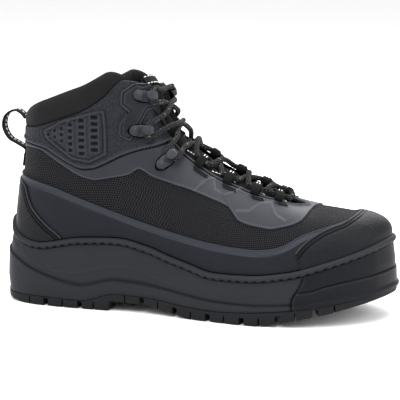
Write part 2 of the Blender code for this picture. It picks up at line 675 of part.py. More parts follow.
def make_overlays(finishes):
    """Films and moulded shells over the upper, each cut from its own layer by a side outline."""
    first = GAP
    second = GAP + RAND_FILM + GAP
    rand = skin("rand", first, RAND_FILM, finishes["film"])
    cut(rand, prism("rand_edge", list(RAND_TOP) + [Corner(AHEAD, UNDER), Corner(BEHIND, UNDER)]),
        "INTERSECT")
    cap = skin("toe_cap", second, TOE_CAP_WALL, finishes["cap"])
    cut(cap, prism("toe_cap_edge", list(TOE_CAP_EDGE) + [Corner(AHEAD, UNDER)]), "INTERSECT")
    counter = skin("heel_counter", second, TOE_CAP_WALL, finishes["cap"])
    cut(counter, prism("counter_edge", list(COUNTER_EDGE) + [Corner(BEHIND, UNDER)]), "INTERSECT")
    guard = skin("ankle_guard", first, GUARD_WALL, finishes["guard"])
    guard_corners = list(GUARD_LOW_EDGE) + [Corner(0.520, ABOVE), Corner(BEHIND, ABOVE)]
    cut(guard, prism("guard_edge", guard_corners), "INTERSECT")
    eyestay = skin("eyestay", first, EYESTAY_FILM, finishes["eyestay"])
    under_guard = moved_corners(GUARD_LOW_EDGE[3:], -2 * GAP)
    eyestay_corners = list(EYESTAY_LOW_EDGE) + under_guard[::-1]
    cut(eyestay, prism("eyestay_edge", eyestay_corners), "INTERSECT")
    for side, y_from, y_to in (("lateral", -0.2, 0.0), ("medial", 0.0, 0.2)):
        plate = skin("hook_plate_" + side, PLATE_SEAT, HOOK_PLATE_WALL, finishes["guard"])
        cut(plate, prism("plate_edge_" + side, HOOK_PLATE, y_from, y_to), "INTERSECT")


def make_collar(finish):
    """Padded roll on the top edge of the shaft, thin at its two front ends."""
    half = AROUND[AROUND <= COLLAR_END]
    loop = np.concatenate([-half[:0:-1], half])
    count = len(loop)
    height = SHAFT_RISE * ease(mirrored(UPPER, "collar"), loop)
    base = wall(loop, 1.0 + 0 * loop)
    rise = unit(base - wall(loop, 0.9 + 0 * loop))
    inward = -wall_normal(loop, 1.0 + 0 * loop)
    depth = COLLAR_THICKNESS * np.clip(height / COLLAR_FULL_HEIGHT, COLLAR_THIN_END, 1.0)
    rings = []
    for point in COLLAR_SHAPE:
        rings.append(base + inward * (point.across * depth)[:, None]
                     + rise * (COLLAR_SEAT + point.up * height)[:, None])
    vertices = np.stack(rings, axis=1).reshape(-1, 3)
    sides = len(COLLAR_SHAPE)
    faces = []
    for i in range(count - 1):
        for k in range(sides):
            a = i * sides + k
            b = i * sides + (k + 1) % sides
            faces.append((a, a + sides, b + sides, b))
    faces.append(tuple(range(sides)))
    faces.append(tuple(range((count - 1) * sides, count * sides))[::-1])
    add_object("collar", vertices, faces, finish)


# Tongue and lacing

def tongue_sections():
    """Cross-sections of the tongue's outer face, top to bottom, seven points each."""
    depth = -UPPER_WALL - 3 * GAP
    sections = []
    for row in TONGUE:
        u = np.array([row.station, KNOTS - row.station])
        tucked = on_wall(u, np.array([row.tuck, row.tuck]), depth)
        edge = on_wall(u, np.array([1.0, 1.0]), depth)
        normal = unit(wall_normal(u, np.array([1.0, 1.0])).mean(axis=0))
        middle = edge.mean(axis=0)
        crown = normal * row.crown * BALL_WIDTH
        quarter = [0.55 * edge[side] + 0.45 * middle + 0.78 * crown for side in (0, 1)]
        sections.append([tucked[0], edge[0], quarter[0], middle + crown, quarter[1], edge[1],
                         tucked[1]])
    lift = np.array([-TONGUE_TOP_LEAN, 0.0, TONGUE_TOP_RISE])
    top = [np.array(point) * (1, TONGUE_TOP_NARROW, 1) + lift for point in sections[0]]
    return np.array([top] + sections)


def make_tongue(finish):
    points = tongue_sections()
    rows, columns = points.shape[:2]
    faces = []
    for i in range(rows - 1):
        for k in range(columns - 1):
            a = i * columns + k
            b = a + columns
            faces.append((a, b, b + 1))
            faces.append((a, b + 1, a + 1))
    tongue = add_object("tongue", points.reshape(-1, 3), faces, finish)
    thicken(tongue, TONGUE_THICKNESS, -1)


def across_frame(u):
    """Point on the throat's edge, with directions forward along it, in over it and out of it."""
    edge = wall(np.array([u]), np.array([1.0]))[0]
    out = wall_normal(np.array([u]), np.array([1.0]))[0]
    ahead = wall(np.array([u + 0.1, u - 0.1]), np.array([1.0, 1.0]))
    forward = unit(ahead[0] - ahead[1])
    if u > LAST:
        forward = -forward
    inward = unit(np.cross(out, forward))
    if inward[1] * edge[1] > 0:
        inward = -inward
    return edge, forward, inward, out


def add_strap(name, path, normals, ways, size, closed, finish):
    """Webbing along a path: size is its thickness and width, ways point across its width."""
    thickness, width = size
    rings = []
    for side, across in ((-1, -1), (1, -1), (1, 1), (-1, 1)):
        rings.append(path + normals * side * thickness / 2 + ways * across * width / 2)
    shape = bmesh.new()
    corners = np.stack(rings, axis=1)
    knots = [[shape.verts.new(corner) for corner in ring] for ring in corners]
    for i in range(len(path) if closed else len(path) - 1):
        near, far = knots[i], knots[(i + 1) % len(path)]
        for k in range(4):
            j = (k + 1) % 4
            shape.faces.new((near[k], far[k], far[j], near[j]))
    if not closed:
        shape.faces.new(knots[0])
        shape.faces.new(knots[-1])
    bmesh.ops.recalc_face_normals(shape, faces=shape.faces)
    return add_shape(name, shape, finish)


def flat_normals(points, closed):
    """Normals of a path in a plane, from its neighbours on both sides."""
    after = np.roll(points, -1, axis=0)
    before = np.roll(points, 1, axis=0)
    if not closed:
        after[-1] = points[-1]
        before[0] = points[0]
    run = unit(after - before)
    return np.stack([-run[:, 1], run[:, 0]], axis=1)


def make_lace_loops(finish):
    shape = np.array(LOOP_SHAPE) * LOOP_WIDTH
    normals = flat_normals(shape, True)
    for number, station in enumerate(LOOP_STATIONS, start=1):
        for side, u in (("lateral", station), ("medial", KNOTS - station)):
            edge, forward, inward, out = across_frame(u)
            plane = np.stack([inward, out])
            path = edge + shape @ plane
            ways = np.tile(forward, (len(path), 1))
            add_strap("lace_loop_%s_%d" % (side, number), path, normals @ plane, ways,
                      (WEBBING_THICKNESS, LOOP_WIDTH), True, finish)


def hook_spot(hook, side):
    """Loop position of a hook and its place up the wall."""
    u, t = spot(hook.along, hook.up)
    return (u if side == "lateral" else KNOTS - u), t


def hook_frame(hook, side):
    """Base of a hook on the wall, with the directions of its mouth and out of the wall."""
    u, t = hook_spot(hook, side)
    face = PLATE_FACE if hook.face == "plate" else EYESTAY_FACE
    base = wall(np.array([u]), np.array([t]))[0]
    out = wall_normal(np.array([u]), np.array([t]))[0]
    level_way = unit(np.array([1.0, 0.0, 0.0]) - out * out[0])
    up_way = unit(np.array([0.0, 0.0, 1.0]) - out * out[2] - level_way * level_way[2])
    turn = math.radians(hook.turn)
    mouth = level_way * math.cos(turn) + up_way * math.sin(turn)
    places = np.meshgrid(np.linspace(u - 1, u + 1, 81), np.linspace(t - 0.15, 1, 81))
    under = faceted_wall(*places, face) - base
    covered = ((np.abs(under @ mouth) < HOOK_LENGTH / 2)
               & (np.abs(under @ np.cross(out, mouth)) < HOOK_WIDTH / 2))
    seat = (under @ out)[covered].max() + GAP
    return base + out * seat, mouth, out


def hook_shape():
    """A sheet hook seen from the side: base plate, neck and the lip curled back over it."""
    scale = np.array([HOOK_LENGTH / 2, HOOK_HEIGHT])
    outer = np.array(HOOK_OUTER) * scale
    inner = outer + flat_normals(outer, False) * HOOK_SHEET
    return np.concatenate([outer, inner[::-1]])


def make_hooks(finish):
    """Each hook is one bent sheet, joined to the rivet that holds it."""
    bottom = HOOK_SHEET / 2
    rise = bottom + RIVET_HEIGHT
    seat = Matrix.Translation((RIVET_ALONG * HOOK_LENGTH / 2, 0, bottom + rise / 2))
    for hook in HOOKS:
        for side in ("lateral", "medial"):
            place, mouth, out = hook_frame(hook, side)
            turned = np.stack([mouth, np.cross(out, mouth), out], axis=1)
            matrix = Matrix.Translation(place) @ Matrix(turned.tolist()).to_4x4()
            sheet = extruded(hook_shape(), -HOOK_WIDTH / 2, HOOK_WIDTH / 2)
            rivet = bmesh.new()
            bmesh.ops.create_cone(
                rivet, cap_ends=True, segments=12, radius1=RIVET_DIAMETER / 2,
                radius2=RIVET_DIAMETER / 2 * RIVET_TOP, depth=rise, matrix=seat)
            sheet.transform(matrix)
            rivet.transform(matrix)
            name = "lace_hook_%s_%s" % (side, hook.name)
            cut(add_shape(name, sheet, finish), add_shape(name + "_rivet", rivet), "UNION")


def smooth_path(points):
    """Points along a smooth curve through the given ones, a few more than they are."""
    points = np.array(points)
    knots = np.arange(len(points))
    slope = np.gradient(points, axis=0)
    u = np.linspace(0, len(points) - 1, len(points) + EXTRA_POINTS)
    i = np.minimum(u.astype(int), len(points) - 2)
    t = (u - knots[i])[:, None]
    return ((2 * t**3 - 3 * t**2 + 1) * points[i] + (t**3 - 2 * t**2 + t) * slope[i]
            + (3 * t**2 - 2 * t**3) * points[i + 1] + (t**3 - t**2) * slope[i + 1])


def cord_mesh(points):
    """A round cord along the points, as a mesh with closed ends."""
    curve = bpy.data.curves.new("strand", "CURVE")
    curve.dimensions = "3D"
    curve.bevel_depth = LACE_DIAMETER / 2
    curve.bevel_resolution = 2
    curve.use_fill_caps = True
    line = curve.splines.new("POLY")
    line.points.add(len(points) - 1)
    for knot, point in zip(line.points, points):
        knot.co = (*point, 1.0)
    thing = bpy.data.objects.new("strand", curve)
    bpy.context.scene.collection.objects.link(thing)
    bpy.context.view_layer.update()
    view = thing.evaluated_get(bpy.context.evaluated_depsgraph_get())
    shape = bmesh.new()
    shape.from_mesh(bpy.data.meshes.new_from_object(view))
    bmesh.ops.remove_doubles(shape, verts=shape.verts, dist=0.00005)
    bmesh.ops.recalc_face_normals(shape, faces=shape.faces)
    bpy.data.objects.remove(thing)
    return shape


def over_tongue(station):
    """Middle of a lace where it crosses the tongue."""
    sections = tongue_sections()[1:]
    stations = [row.station for row in TONGUE]
    middle = np.array([np.interp(station, stations, sections[:, 3, k]) for k in range(3)])
    u = np.array([station, KNOTS - station])
    out = unit(wall_normal(u, np.array([1.0, 1.0])).mean(axis=0))
    return middle + out * (LACE_DIAMETER / 2 + LACE_CLEARANCE)


def loop_mouth(station, side, end):
    """Where the lace leaves a webbing loop: end is 1 at its front and -1 at its back."""
    edge, forward, inward, out = across_frame(station if side < 0 else KNOTS - station)
    inside = edge + (inward * LACE_IN_LOOP.across + out * LACE_IN_LOOP.up) * LOOP_WIDTH
    return [inside + forward * end * (LOOP_WIDTH / 2 + LACE_DIAMETER / 2 + 2 * GAP)]


def hook_mouth(hook, side, end):
    """Where the lace from a hook passes the throat's edge: end is 1 on the hook's top side."""
    side = "lateral" if side < 0 else "medial"
    station = hook.edge - LACE_LEAVES * end
    edge = station if side == "lateral" else KNOTS - station
    u, t = hook_spot(hook, side)
    shares = np.array(LACE_ON_WALL)
    lift = PLATE_FACE + LACE_DIAMETER / 2 + LACE_CLEARANCE * np.array(LACE_LIFTS)
    lift = lift[:, None]
    return list(on_wall(u + (edge - u) * shares, t + (1 - t) * shares, lift))


def make_laces(finish):
    """Crossings between one pair of loops or hooks and the next, and a bar at both ends."""
    rows = [(station, station, loop_mouth) for station in LOOP_STATIONS]
    rows += [(hook, hook.edge, hook_mouth) for hook in HOOKS]
    for number, (front, back) in enumerate(zip(rows, rows[1:]), start=1):
        middle = [over_tongue((front[1] + back[1]) / 2 - CROSSING_BACK)]
        strands = []
        for side in (-1, 1):
            start = front[2](front[0], side, 1 if front[2] is hook_mouth else -1)
            end = back[2](back[0], -side, -1 if back[2] is hook_mouth else 1)
            strands.append(cord_mesh(smooth_path(start + middle + end[::-1])))
        name = "lace_crossing_%d" % number
        crossing = add_shape(name, strands[0], finish)
        cut(crossing, add_shape(name + "_strand", strands[1]), "UNION")
    for name, row, end, station in (
            ("lace_front_bar", rows[0], 1, (LOOP_STATIONS[0] + LAST - 2) / 2),
            ("lace_top_bar", rows[-1], 1, TOP_BAR_STATION)):
        near, far = (row[2](row[0], side, end) for side in (-1, 1))
        bar = smooth_path(near + [over_tongue(station)] + far[::-1])
        add_shape(name, cord_mesh(bar), finish)


def make_pull_loop(finish):
    """Webbing at the back: a tail up the heel, then a loop that ends on the collar."""
    heel = np.zeros(1)
    tail = [faceted_wall(heel, np.array([t]), GAP + PULL_LOOP_WALL / 2)[0] for t in PULL_TAIL]
    root = tail[-1]
    loop = [root + (-PULL_LOOP_REACH * p.out, 0.0, PULL_LOOP_HEIGHT * p.up) for p in PULL_SHAPE]
    seat = COLLAR_SHAPE[1]
    collar_height = SHAFT_RISE * UPPER[0].collar
    end = wall(heel, np.ones(1))[0] + (
        seat.across * COLLAR_THICKNESS - PULL_LOOP_WALL / 2 - GAP, 0.0,
        seat.up * collar_height + COLLAR_SEAT)
    path = np.array(tail + loop + [end])
    flat = flat_normals(path[:, [0, 2]], False)
    normals = stack(flat[:, 0], 0.0, flat[:, 1])
    ways = np.tile([0.0, 1.0, 0.0], (len(path), 1))
    size = (PULL_LOOP_WALL, PULL_LOOP_WIDTH)
    add_strap("pull_loop", path, normals, ways, size, False, finish)


def make_tongue_keeper(finish):
    """Webbing across the tongue near its top edge."""
    top, below = tongue_sections()[:2, 1:6]
    middle = (top + below) / 2
    down = unit(below - top)
    normals = unit(np.cross(down, np.gradient(middle, axis=0)))
    normals *= np.sign(normals[2][0])
    path = middle + normals * (WEBBING_THICKNESS / 2 + GAP)
    add_strap("tongue_keeper", path, normals, down, (WEBBING_THICKNESS, KEEPER_WIDTH), False,
              finish)


# The assembly

def main():
    start_collections()
    rubber = material("outsole_rubber", (0.025, 0.026, 0.028), 0.75)
    foam = material("midsole_rubber", (0.045, 0.046, 0.050), 0.70)
    webbing = material("webbing", (0.012, 0.012, 0.013), 0.85)
    make_outsole(rubber)
    make_midsole(foam)
    make_toe_bumper(material("bumper_rubber", (0.018, 0.018, 0.020), 0.45))
    make_welt(foam)
    make_insole(material("insole_foam", (0.03, 0.03, 0.032), 0.9))
    make_upper(material("mesh_fabric", (0.03, 0.031, 0.036), 0.85))
    make_overlays({
        "film": material("rand_film", (0.035, 0.037, 0.044), 0.45),
        "cap": material("moulded_film", (0.026, 0.027, 0.030), 0.40),
        "guard": material("guard_plastic", (0.035, 0.038, 0.046), 0.5),
        "eyestay": material("eyestay_film", (0.075, 0.080, 0.095), 0.45)})
    make_collar(material("collar_fabric", (0.018, 0.019, 0.021), 0.9))
    make_tongue(material("tongue_fabric", (0.012, 0.012, 0.013), 0.9))
    make_tongue_keeper(webbing)
    make_lace_loops(webbing)
    make_pull_loop(webbing)
    make_hooks(material("hook_metal", (0.10, 0.105, 0.115), 0.5, 0.3))
    make_laces(material("lace_cord", (0.02, 0.02, 0.021), 0.9))


main()
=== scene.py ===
# %% [markdown]
# # Dressing a wading boot
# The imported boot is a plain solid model: right in size and place, but built from large flat faces.
# This lesson makes the boot that a visitor sees. Most pieces are surfaces worked out with numpy
# from the same few sizes and tables as the solids, only much finer, and each gets its material.

import math
from collections import namedtuple

import bpy
import numpy as np
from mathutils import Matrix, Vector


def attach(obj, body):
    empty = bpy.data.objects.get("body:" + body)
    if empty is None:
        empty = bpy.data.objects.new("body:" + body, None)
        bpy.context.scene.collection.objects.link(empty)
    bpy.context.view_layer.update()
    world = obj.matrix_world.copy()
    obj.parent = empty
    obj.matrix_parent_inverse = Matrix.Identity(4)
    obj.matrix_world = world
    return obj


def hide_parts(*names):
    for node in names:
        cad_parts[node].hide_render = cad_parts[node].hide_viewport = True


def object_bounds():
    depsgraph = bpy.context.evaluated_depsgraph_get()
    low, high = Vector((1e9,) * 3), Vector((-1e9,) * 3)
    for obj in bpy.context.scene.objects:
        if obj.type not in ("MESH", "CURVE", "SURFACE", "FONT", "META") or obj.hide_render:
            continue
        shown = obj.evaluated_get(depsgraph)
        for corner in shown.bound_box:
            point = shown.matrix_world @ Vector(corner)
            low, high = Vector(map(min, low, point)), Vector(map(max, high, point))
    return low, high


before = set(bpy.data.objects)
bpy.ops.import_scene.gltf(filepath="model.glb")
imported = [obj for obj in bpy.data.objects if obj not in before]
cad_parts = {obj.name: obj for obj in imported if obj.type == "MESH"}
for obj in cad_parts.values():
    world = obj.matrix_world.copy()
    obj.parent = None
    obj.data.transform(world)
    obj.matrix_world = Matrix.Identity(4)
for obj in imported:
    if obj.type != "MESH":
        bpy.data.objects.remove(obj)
cad_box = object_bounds()
MM = 0.001
print("the frame has", len(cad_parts), "nodes")

# %% [markdown]
# ## Camera
# A long lens from the front quarter shows the boot's outer side. The camera comes first, because
# everything else is judged through it. Large soft lights and a white floor stand for a photo tent.

# %% Camera
AZIMUTH, ELEVATION, DISTANCE = math.radians(17.0), math.radians(10.5), 1.8
back = np.array([math.sin(AZIMUTH) * math.cos(ELEVATION),
                 -math.cos(AZIMUTH) * math.cos(ELEVATION), math.sin(ELEVATION)])
right = np.array([math.cos(AZIMUTH), math.sin(AZIMUTH), 0.0])
up = np.cross(back, right)
target = np.array([0.118, 0.0, 0.100]) - right * 0.0009 - up * 0.0132


def look_along(thing, place, away):
    """Put a camera or light at a place, turned so that it looks against the away direction."""
    from mathutils import Vector
    thing.location = place
    thing.rotation_euler = Vector(away).to_track_quat("Z", "Y").to_euler()


lens = bpy.data.cameras.new("camera")
lens.sensor_width = 36
lens.lens = 200.7
camera = bpy.data.objects.new("camera", lens)
bpy.context.scene.collection.objects.link(camera)
look_along(camera, target + back * DISTANCE, back)
bpy.context.scene.camera = camera

# %% [markdown]
# ## Light
# A photo tent lights the boot from all sides. Five soft area lamps and a white world do the same.
# The films and rubbers are near black, so what shows their shape is the gloss of these lamps.

# %% Lights
Lamp = namedtuple("Lamp", "name place size power")
LAMPS = (
    Lamp("key", (0.15, -0.80, 1.05), 0.7, 12.0),
    Lamp("top", (0.20, 0.15, 1.10), 0.9, 14.0),
    Lamp("left", (-0.95, -0.40, 0.55), 0.6, 5.0),
    Lamp("right", (1.05, -0.15, 0.50), 0.6, 6.0),
    Lamp("rear", (0.15, 0.95, 0.75), 0.8, 7.0))
for lamp in LAMPS:
    light = bpy.data.lights.new(lamp.name, "AREA")
    light.size = lamp.size
    light.energy = lamp.power
    holder = bpy.data.objects.new(lamp.name, light)
    bpy.context.scene.collection.objects.link(holder)
    look_along(holder, lamp.place, np.array(lamp.place) - (0.1, 0.0, 0.08))

world = bpy.data.worlds.new("tent")
world.use_nodes = True
world.node_tree.nodes["Background"].inputs["Color"].default_value = (1.0, 1.0, 1.0, 1.0)
world.node_tree.nodes["Background"].inputs["Strength"].default_value = 1.0
bpy.context.scene.world = world
bpy.context.scene.view_settings.view_transform = "Standard"

# %% [markdown]
# ## Materials
# The boot is nearly all black, so its materials differ by their surface: woven, grained, smooth
# film, rubber, cord and webbing. Effects that several of them need are shader node groups.

# %% Helpers for node trees
def link(tree, source, target_socket):
    tree.links.new(source, target_socket)


def math_node(tree, operation, first, second=None):
    """One Math node: each input is a socket or a number."""
    node = tree.nodes.new("ShaderNodeMath")
    node.operation = operation
    for slot, value in zip(node.inputs, (first, second)):
        if value is None:
            continue
        if isinstance(value, (int, float)):
            slot.default_value = value
        else:
            link(tree, value, slot)
    return node.outputs[0]


def new_group(name, numbers, outputs):
    """A shader group with a Vector input, named number inputs and named number outputs."""
    tree = bpy.data.node_groups.new(name, "ShaderNodeTree")
    tree.interface.new_socket("Vector", in_out="INPUT", socket_type="NodeSocketVector")
    for key, value in numbers.items():
        socket = tree.interface.new_socket(key, in_out="INPUT", socket_type="NodeSocketFloat")
        socket.default_value = value
    for key in outputs:
        tree.interface.new_socket(key, in_out="OUTPUT", socket_type="NodeSocketFloat")
    start = tree.nodes.new("NodeGroupInput")
    end = tree.nodes.new("NodeGroupOutput")
    return tree, start, end


# %% [markdown]
# ## Effects that several finishes share
# Pebbled plastic, cloudy rubber and woven cloth could each be a picture. Procedural groups have no
# seams and no fixed fineness, and every material sets its own scale on the same group.

# %% Grain, mottle and weave groups
def make_grain():
    """Small pebbles: one minus the distance to the nearest cell centre, with fine noise."""
    tree, start, end = new_group("grain", {"Scale": 900.0}, ["Height"])
    cells = tree.nodes.new("ShaderNodeTexVoronoi")
    noise = tree.nodes.new("ShaderNodeTexNoise")
    for node in (cells, noise):
        link(tree, start.outputs["Vector"], node.inputs["Vector"])
    link(tree, start.outputs["Scale"], cells.inputs["Scale"])
    link(tree, math_node(tree, "MULTIPLY", start.outputs["Scale"], 2.3), noise.inputs["Scale"])
    pebble = math_node(tree, "SUBTRACT", 1.0, cells.outputs["Distance"])
    fine = math_node(tree, "MULTIPLY", noise.outputs["Fac"], 0.35)
    link(tree, math_node(tree, "ADD", pebble, fine), end.inputs["Height"])
    return tree


def make_mottle():
    """Slow clouds from 0 to 1, for uneven colour and gloss."""
    tree, start, end = new_group("mottle", {"Scale": 30.0}, ["Amount"])
    noise = tree.nodes.new("ShaderNodeTexNoise")
    noise.inputs["Detail"].default_value = 4.0
    noise.inputs["Roughness"].default_value = 0.6
    link(tree, start.outputs["Vector"], noise.inputs["Vector"])
    link(tree, start.outputs["Scale"], noise.inputs["Scale"])
    spread = tree.nodes.new("ShaderNodeMapRange")
    spread.inputs["From Min"].default_value = 0.3
    spread.inputs["From Max"].default_value = 0.7
    link(tree, noise.outputs["Fac"], spread.inputs["Value"])
    link(tree, spread.outputs["Result"], end.inputs["Amount"])
    return tree


def make_weave():
    """Zigzag threads: a wave across, pushed sideways by a triangle wave along, and cross ribs."""
    tree, start, end = new_group("weave", {"Pitch": 600.0, "Zigzag": 1.0}, ["Height", "Thread"])
    split = tree.nodes.new("ShaderNodeSeparateXYZ")
    link(tree, start.outputs["Vector"], split.inputs[0])
    across = math_node(tree, "MULTIPLY", split.outputs["X"], start.outputs["Pitch"])
    along = math_node(tree, "MULTIPLY", split.outputs["Y"], start.outputs["Pitch"])
    tooth = math_node(tree, "PINGPONG", math_node(tree, "MULTIPLY", along, 0.5), 1.0)
    shift = math_node(tree, "MULTIPLY", tooth, start.outputs["Zigzag"])
    turn = 2 * math.pi
    wave = math_node(tree, "SINE", math_node(
        tree, "MULTIPLY", math_node(tree, "ADD", across, shift), turn))
    ribs = math_node(tree, "SINE", math_node(tree, "MULTIPLY", along, turn))
    mixed = math_node(tree, "ADD", wave, math_node(tree, "MULTIPLY", ribs, 0.6))
    height = math_node(tree, "MULTIPLY", mixed, 0.5)
    link(tree, height, end.inputs["Height"])
    thread = tree.nodes.new("ShaderNodeMapRange")
    thread.inputs["From Min"].default_value = 0.25
    thread.inputs["From Max"].default_value = 0.7
    link(tree, height, thread.inputs["Value"])
    link(tree, thread.outputs["Result"], end.inputs["Thread"])
    return tree


GROUPS = {"grain": make_grain(), "mottle": make_mottle(), "weave": make_weave()}


# %% [markdown]
# ## Two builders for all finishes
# Smooth finishes read their grain in object space, because they are moulded. Woven ones read the
# piece's own UV map, because threads follow the piece. Marks, such as painted shade in grooves and
# painted highlights on raised rims, come from attributes worked out with the shape, so that colour
# and relief always agree.

# %% The material builder
# The first colour is painted shade for grooves, hollows and round the hooks' feet; the second is a
# painted highlight for raised rims.
PAINTED_SHADE_TINT, PAINTED_HIGHLIGHT_TINT = (0.0010, 0.0010, 0.0012), (0.030, 0.032, 0.038)


def group_node(tree, name, vector, **numbers):
    node = tree.nodes.new("ShaderNodeGroup")
    node.node_tree = GROUPS[name]
    link(tree, vector, node.inputs["Vector"])
    for key, value in numbers.items():
        node.inputs[key].default_value = value
    return node


def mix_color(tree, amount, low, high):
    """Blend of two colours, each a triple or a socket, by a socket from 0 to 1."""
    node = tree.nodes.new("ShaderNodeMix")
    node.data_type = "RGBA"
    link(tree, amount, node.inputs["Factor"])
    for socket, value in ((node.inputs["A"], low), (node.inputs["B"], high)):
        if isinstance(value, tuple):
            socket.default_value = (*value, 1.0)
        else:
            link(tree, value, socket)
    return node.outputs["Result"]


def mix_value(tree, amount, low, high):
    """Number from low to high by a socket from 0 to 1."""
    node = tree.nodes.new("ShaderNodeMapRange")
    node.inputs["To Min"].default_value = low
    node.inputs["To Max"].default_value = high
    link(tree, amount, node.inputs["Value"])
    return node.outputs["Result"]


def bump_node(tree, height, distance, normal=None):
    node = tree.nodes.new("ShaderNodeBump")
    node.inputs["Strength"].default_value = 1.0
    node.inputs["Distance"].default_value = distance
    link(tree, height, node.inputs["Height"])
    if normal is not None:
        link(tree, normal, node.inputs["Normal"])
    return node.outputs["Normal"]


Look = namedtuple("Look", "dark light low high gloss sheen")


def start_material(name, look):
    """A material with a cloudy colour and gloss, and its tree, shader and coordinates."""
    made = bpy.data.materials.new(name)
    made.use_nodes = True
    tree = made.node_tree
    shader = tree.nodes["Principled BSDF"]
    place = tree.nodes.new("ShaderNodeTexCoord")
    cloud = group_node(tree, "mottle", place.outputs["Object"], Scale=26.0).outputs["Amount"]
    color = mix_color(tree, cloud, look.dark, look.light)
    link(tree, color, shader.inputs["Base Color"])
    link(tree, mix_value(tree, cloud, look.low, look.high), shader.inputs["Roughness"])
    shader.inputs["Sheen Weight"].default_value = look.sheen
    shader.inputs["Sheen Roughness"].default_value = 0.5
    shader.inputs["Specular IOR Level"].default_value = look.gloss
    return made, tree, shader, place, color


def attribute_mask(tree, name):
    node = tree.nodes.new("ShaderNodeAttribute")
    node.attribute_name = name
    return node.outputs["Fac"]


def smooth_material(name, look, grain, depth, marks=(), speckle=0.0):
    """Rubber, film or moulded plastic: fine grain by bump, a painted highlight on top of the pebbles
    by the speckle's share, and marks of painted shade, painted highlights and lighter bands."""
    made, tree, shader, place, color = start_material(name, look)
    pebbles = group_node(tree, "grain", place.outputs["Object"], Scale=grain)
    # Painted highlight: the tops of the pebbles are made paler.
    if speckle > 0:
        pebble_highlight = mix_value(tree, pebbles.outputs["Height"], -speckle, speckle)
        color = mix_color(tree, pebble_highlight, color, tuple(2.6 * value for value in look.light))
    link(tree, bump_node(tree, pebbles.outputs["Height"], depth), shader.inputs["Normal"])
    for mark, tint in marks:
        mask = attribute_mask(tree, mark)
        color = mix_color(tree, mask, color, tint)
        # Painted shade also takes most of the gloss away, as a shaded hollow would.
        if tint == PAINTED_SHADE_TINT:
            shine = mix_value(tree, mask, look.gloss, 0.1 * look.gloss)
            link(tree, shine, shader.inputs["Specular IOR Level"])
    link(tree, color, shader.inputs["Base Color"])
    return made


def woven_material(name, look, pitch, zigzag, depth, thread, hairs=0.0):
    """Cloth on its own UV map: zigzag weave by bump and colour, with a few pale hairs."""
    made, tree, shader, place, color = start_material(name, look)
    weave = group_node(tree, "weave", place.outputs["UV"], Pitch=pitch, Zigzag=zigzag)
    color = mix_color(tree, weave.outputs["Thread"], color, thread)
    if hairs > 0:
        flecks = tree.nodes.new("ShaderNodeTexVoronoi")
        flecks.inputs["Scale"].default_value = pitch * 0.55
        link(tree, place.outputs["UV"], flecks.inputs["Vector"])
        near = tree.nodes.new("ShaderNodeMapRange")
        near.inputs["From Min"].default_value = 0.16 * hairs
        near.inputs["From Max"].default_value = 0.08 * hairs
        link(tree, flecks.outputs["Distance"], near.inputs["Value"])
        color = mix_color(tree, near.outputs["Result"], color, (0.10, 0.105, 0.10))
    link(tree, color, shader.inputs["Base Color"])
    link(tree, bump_node(tree, weave.outputs["Height"], depth), shader.inputs["Normal"])
    return made
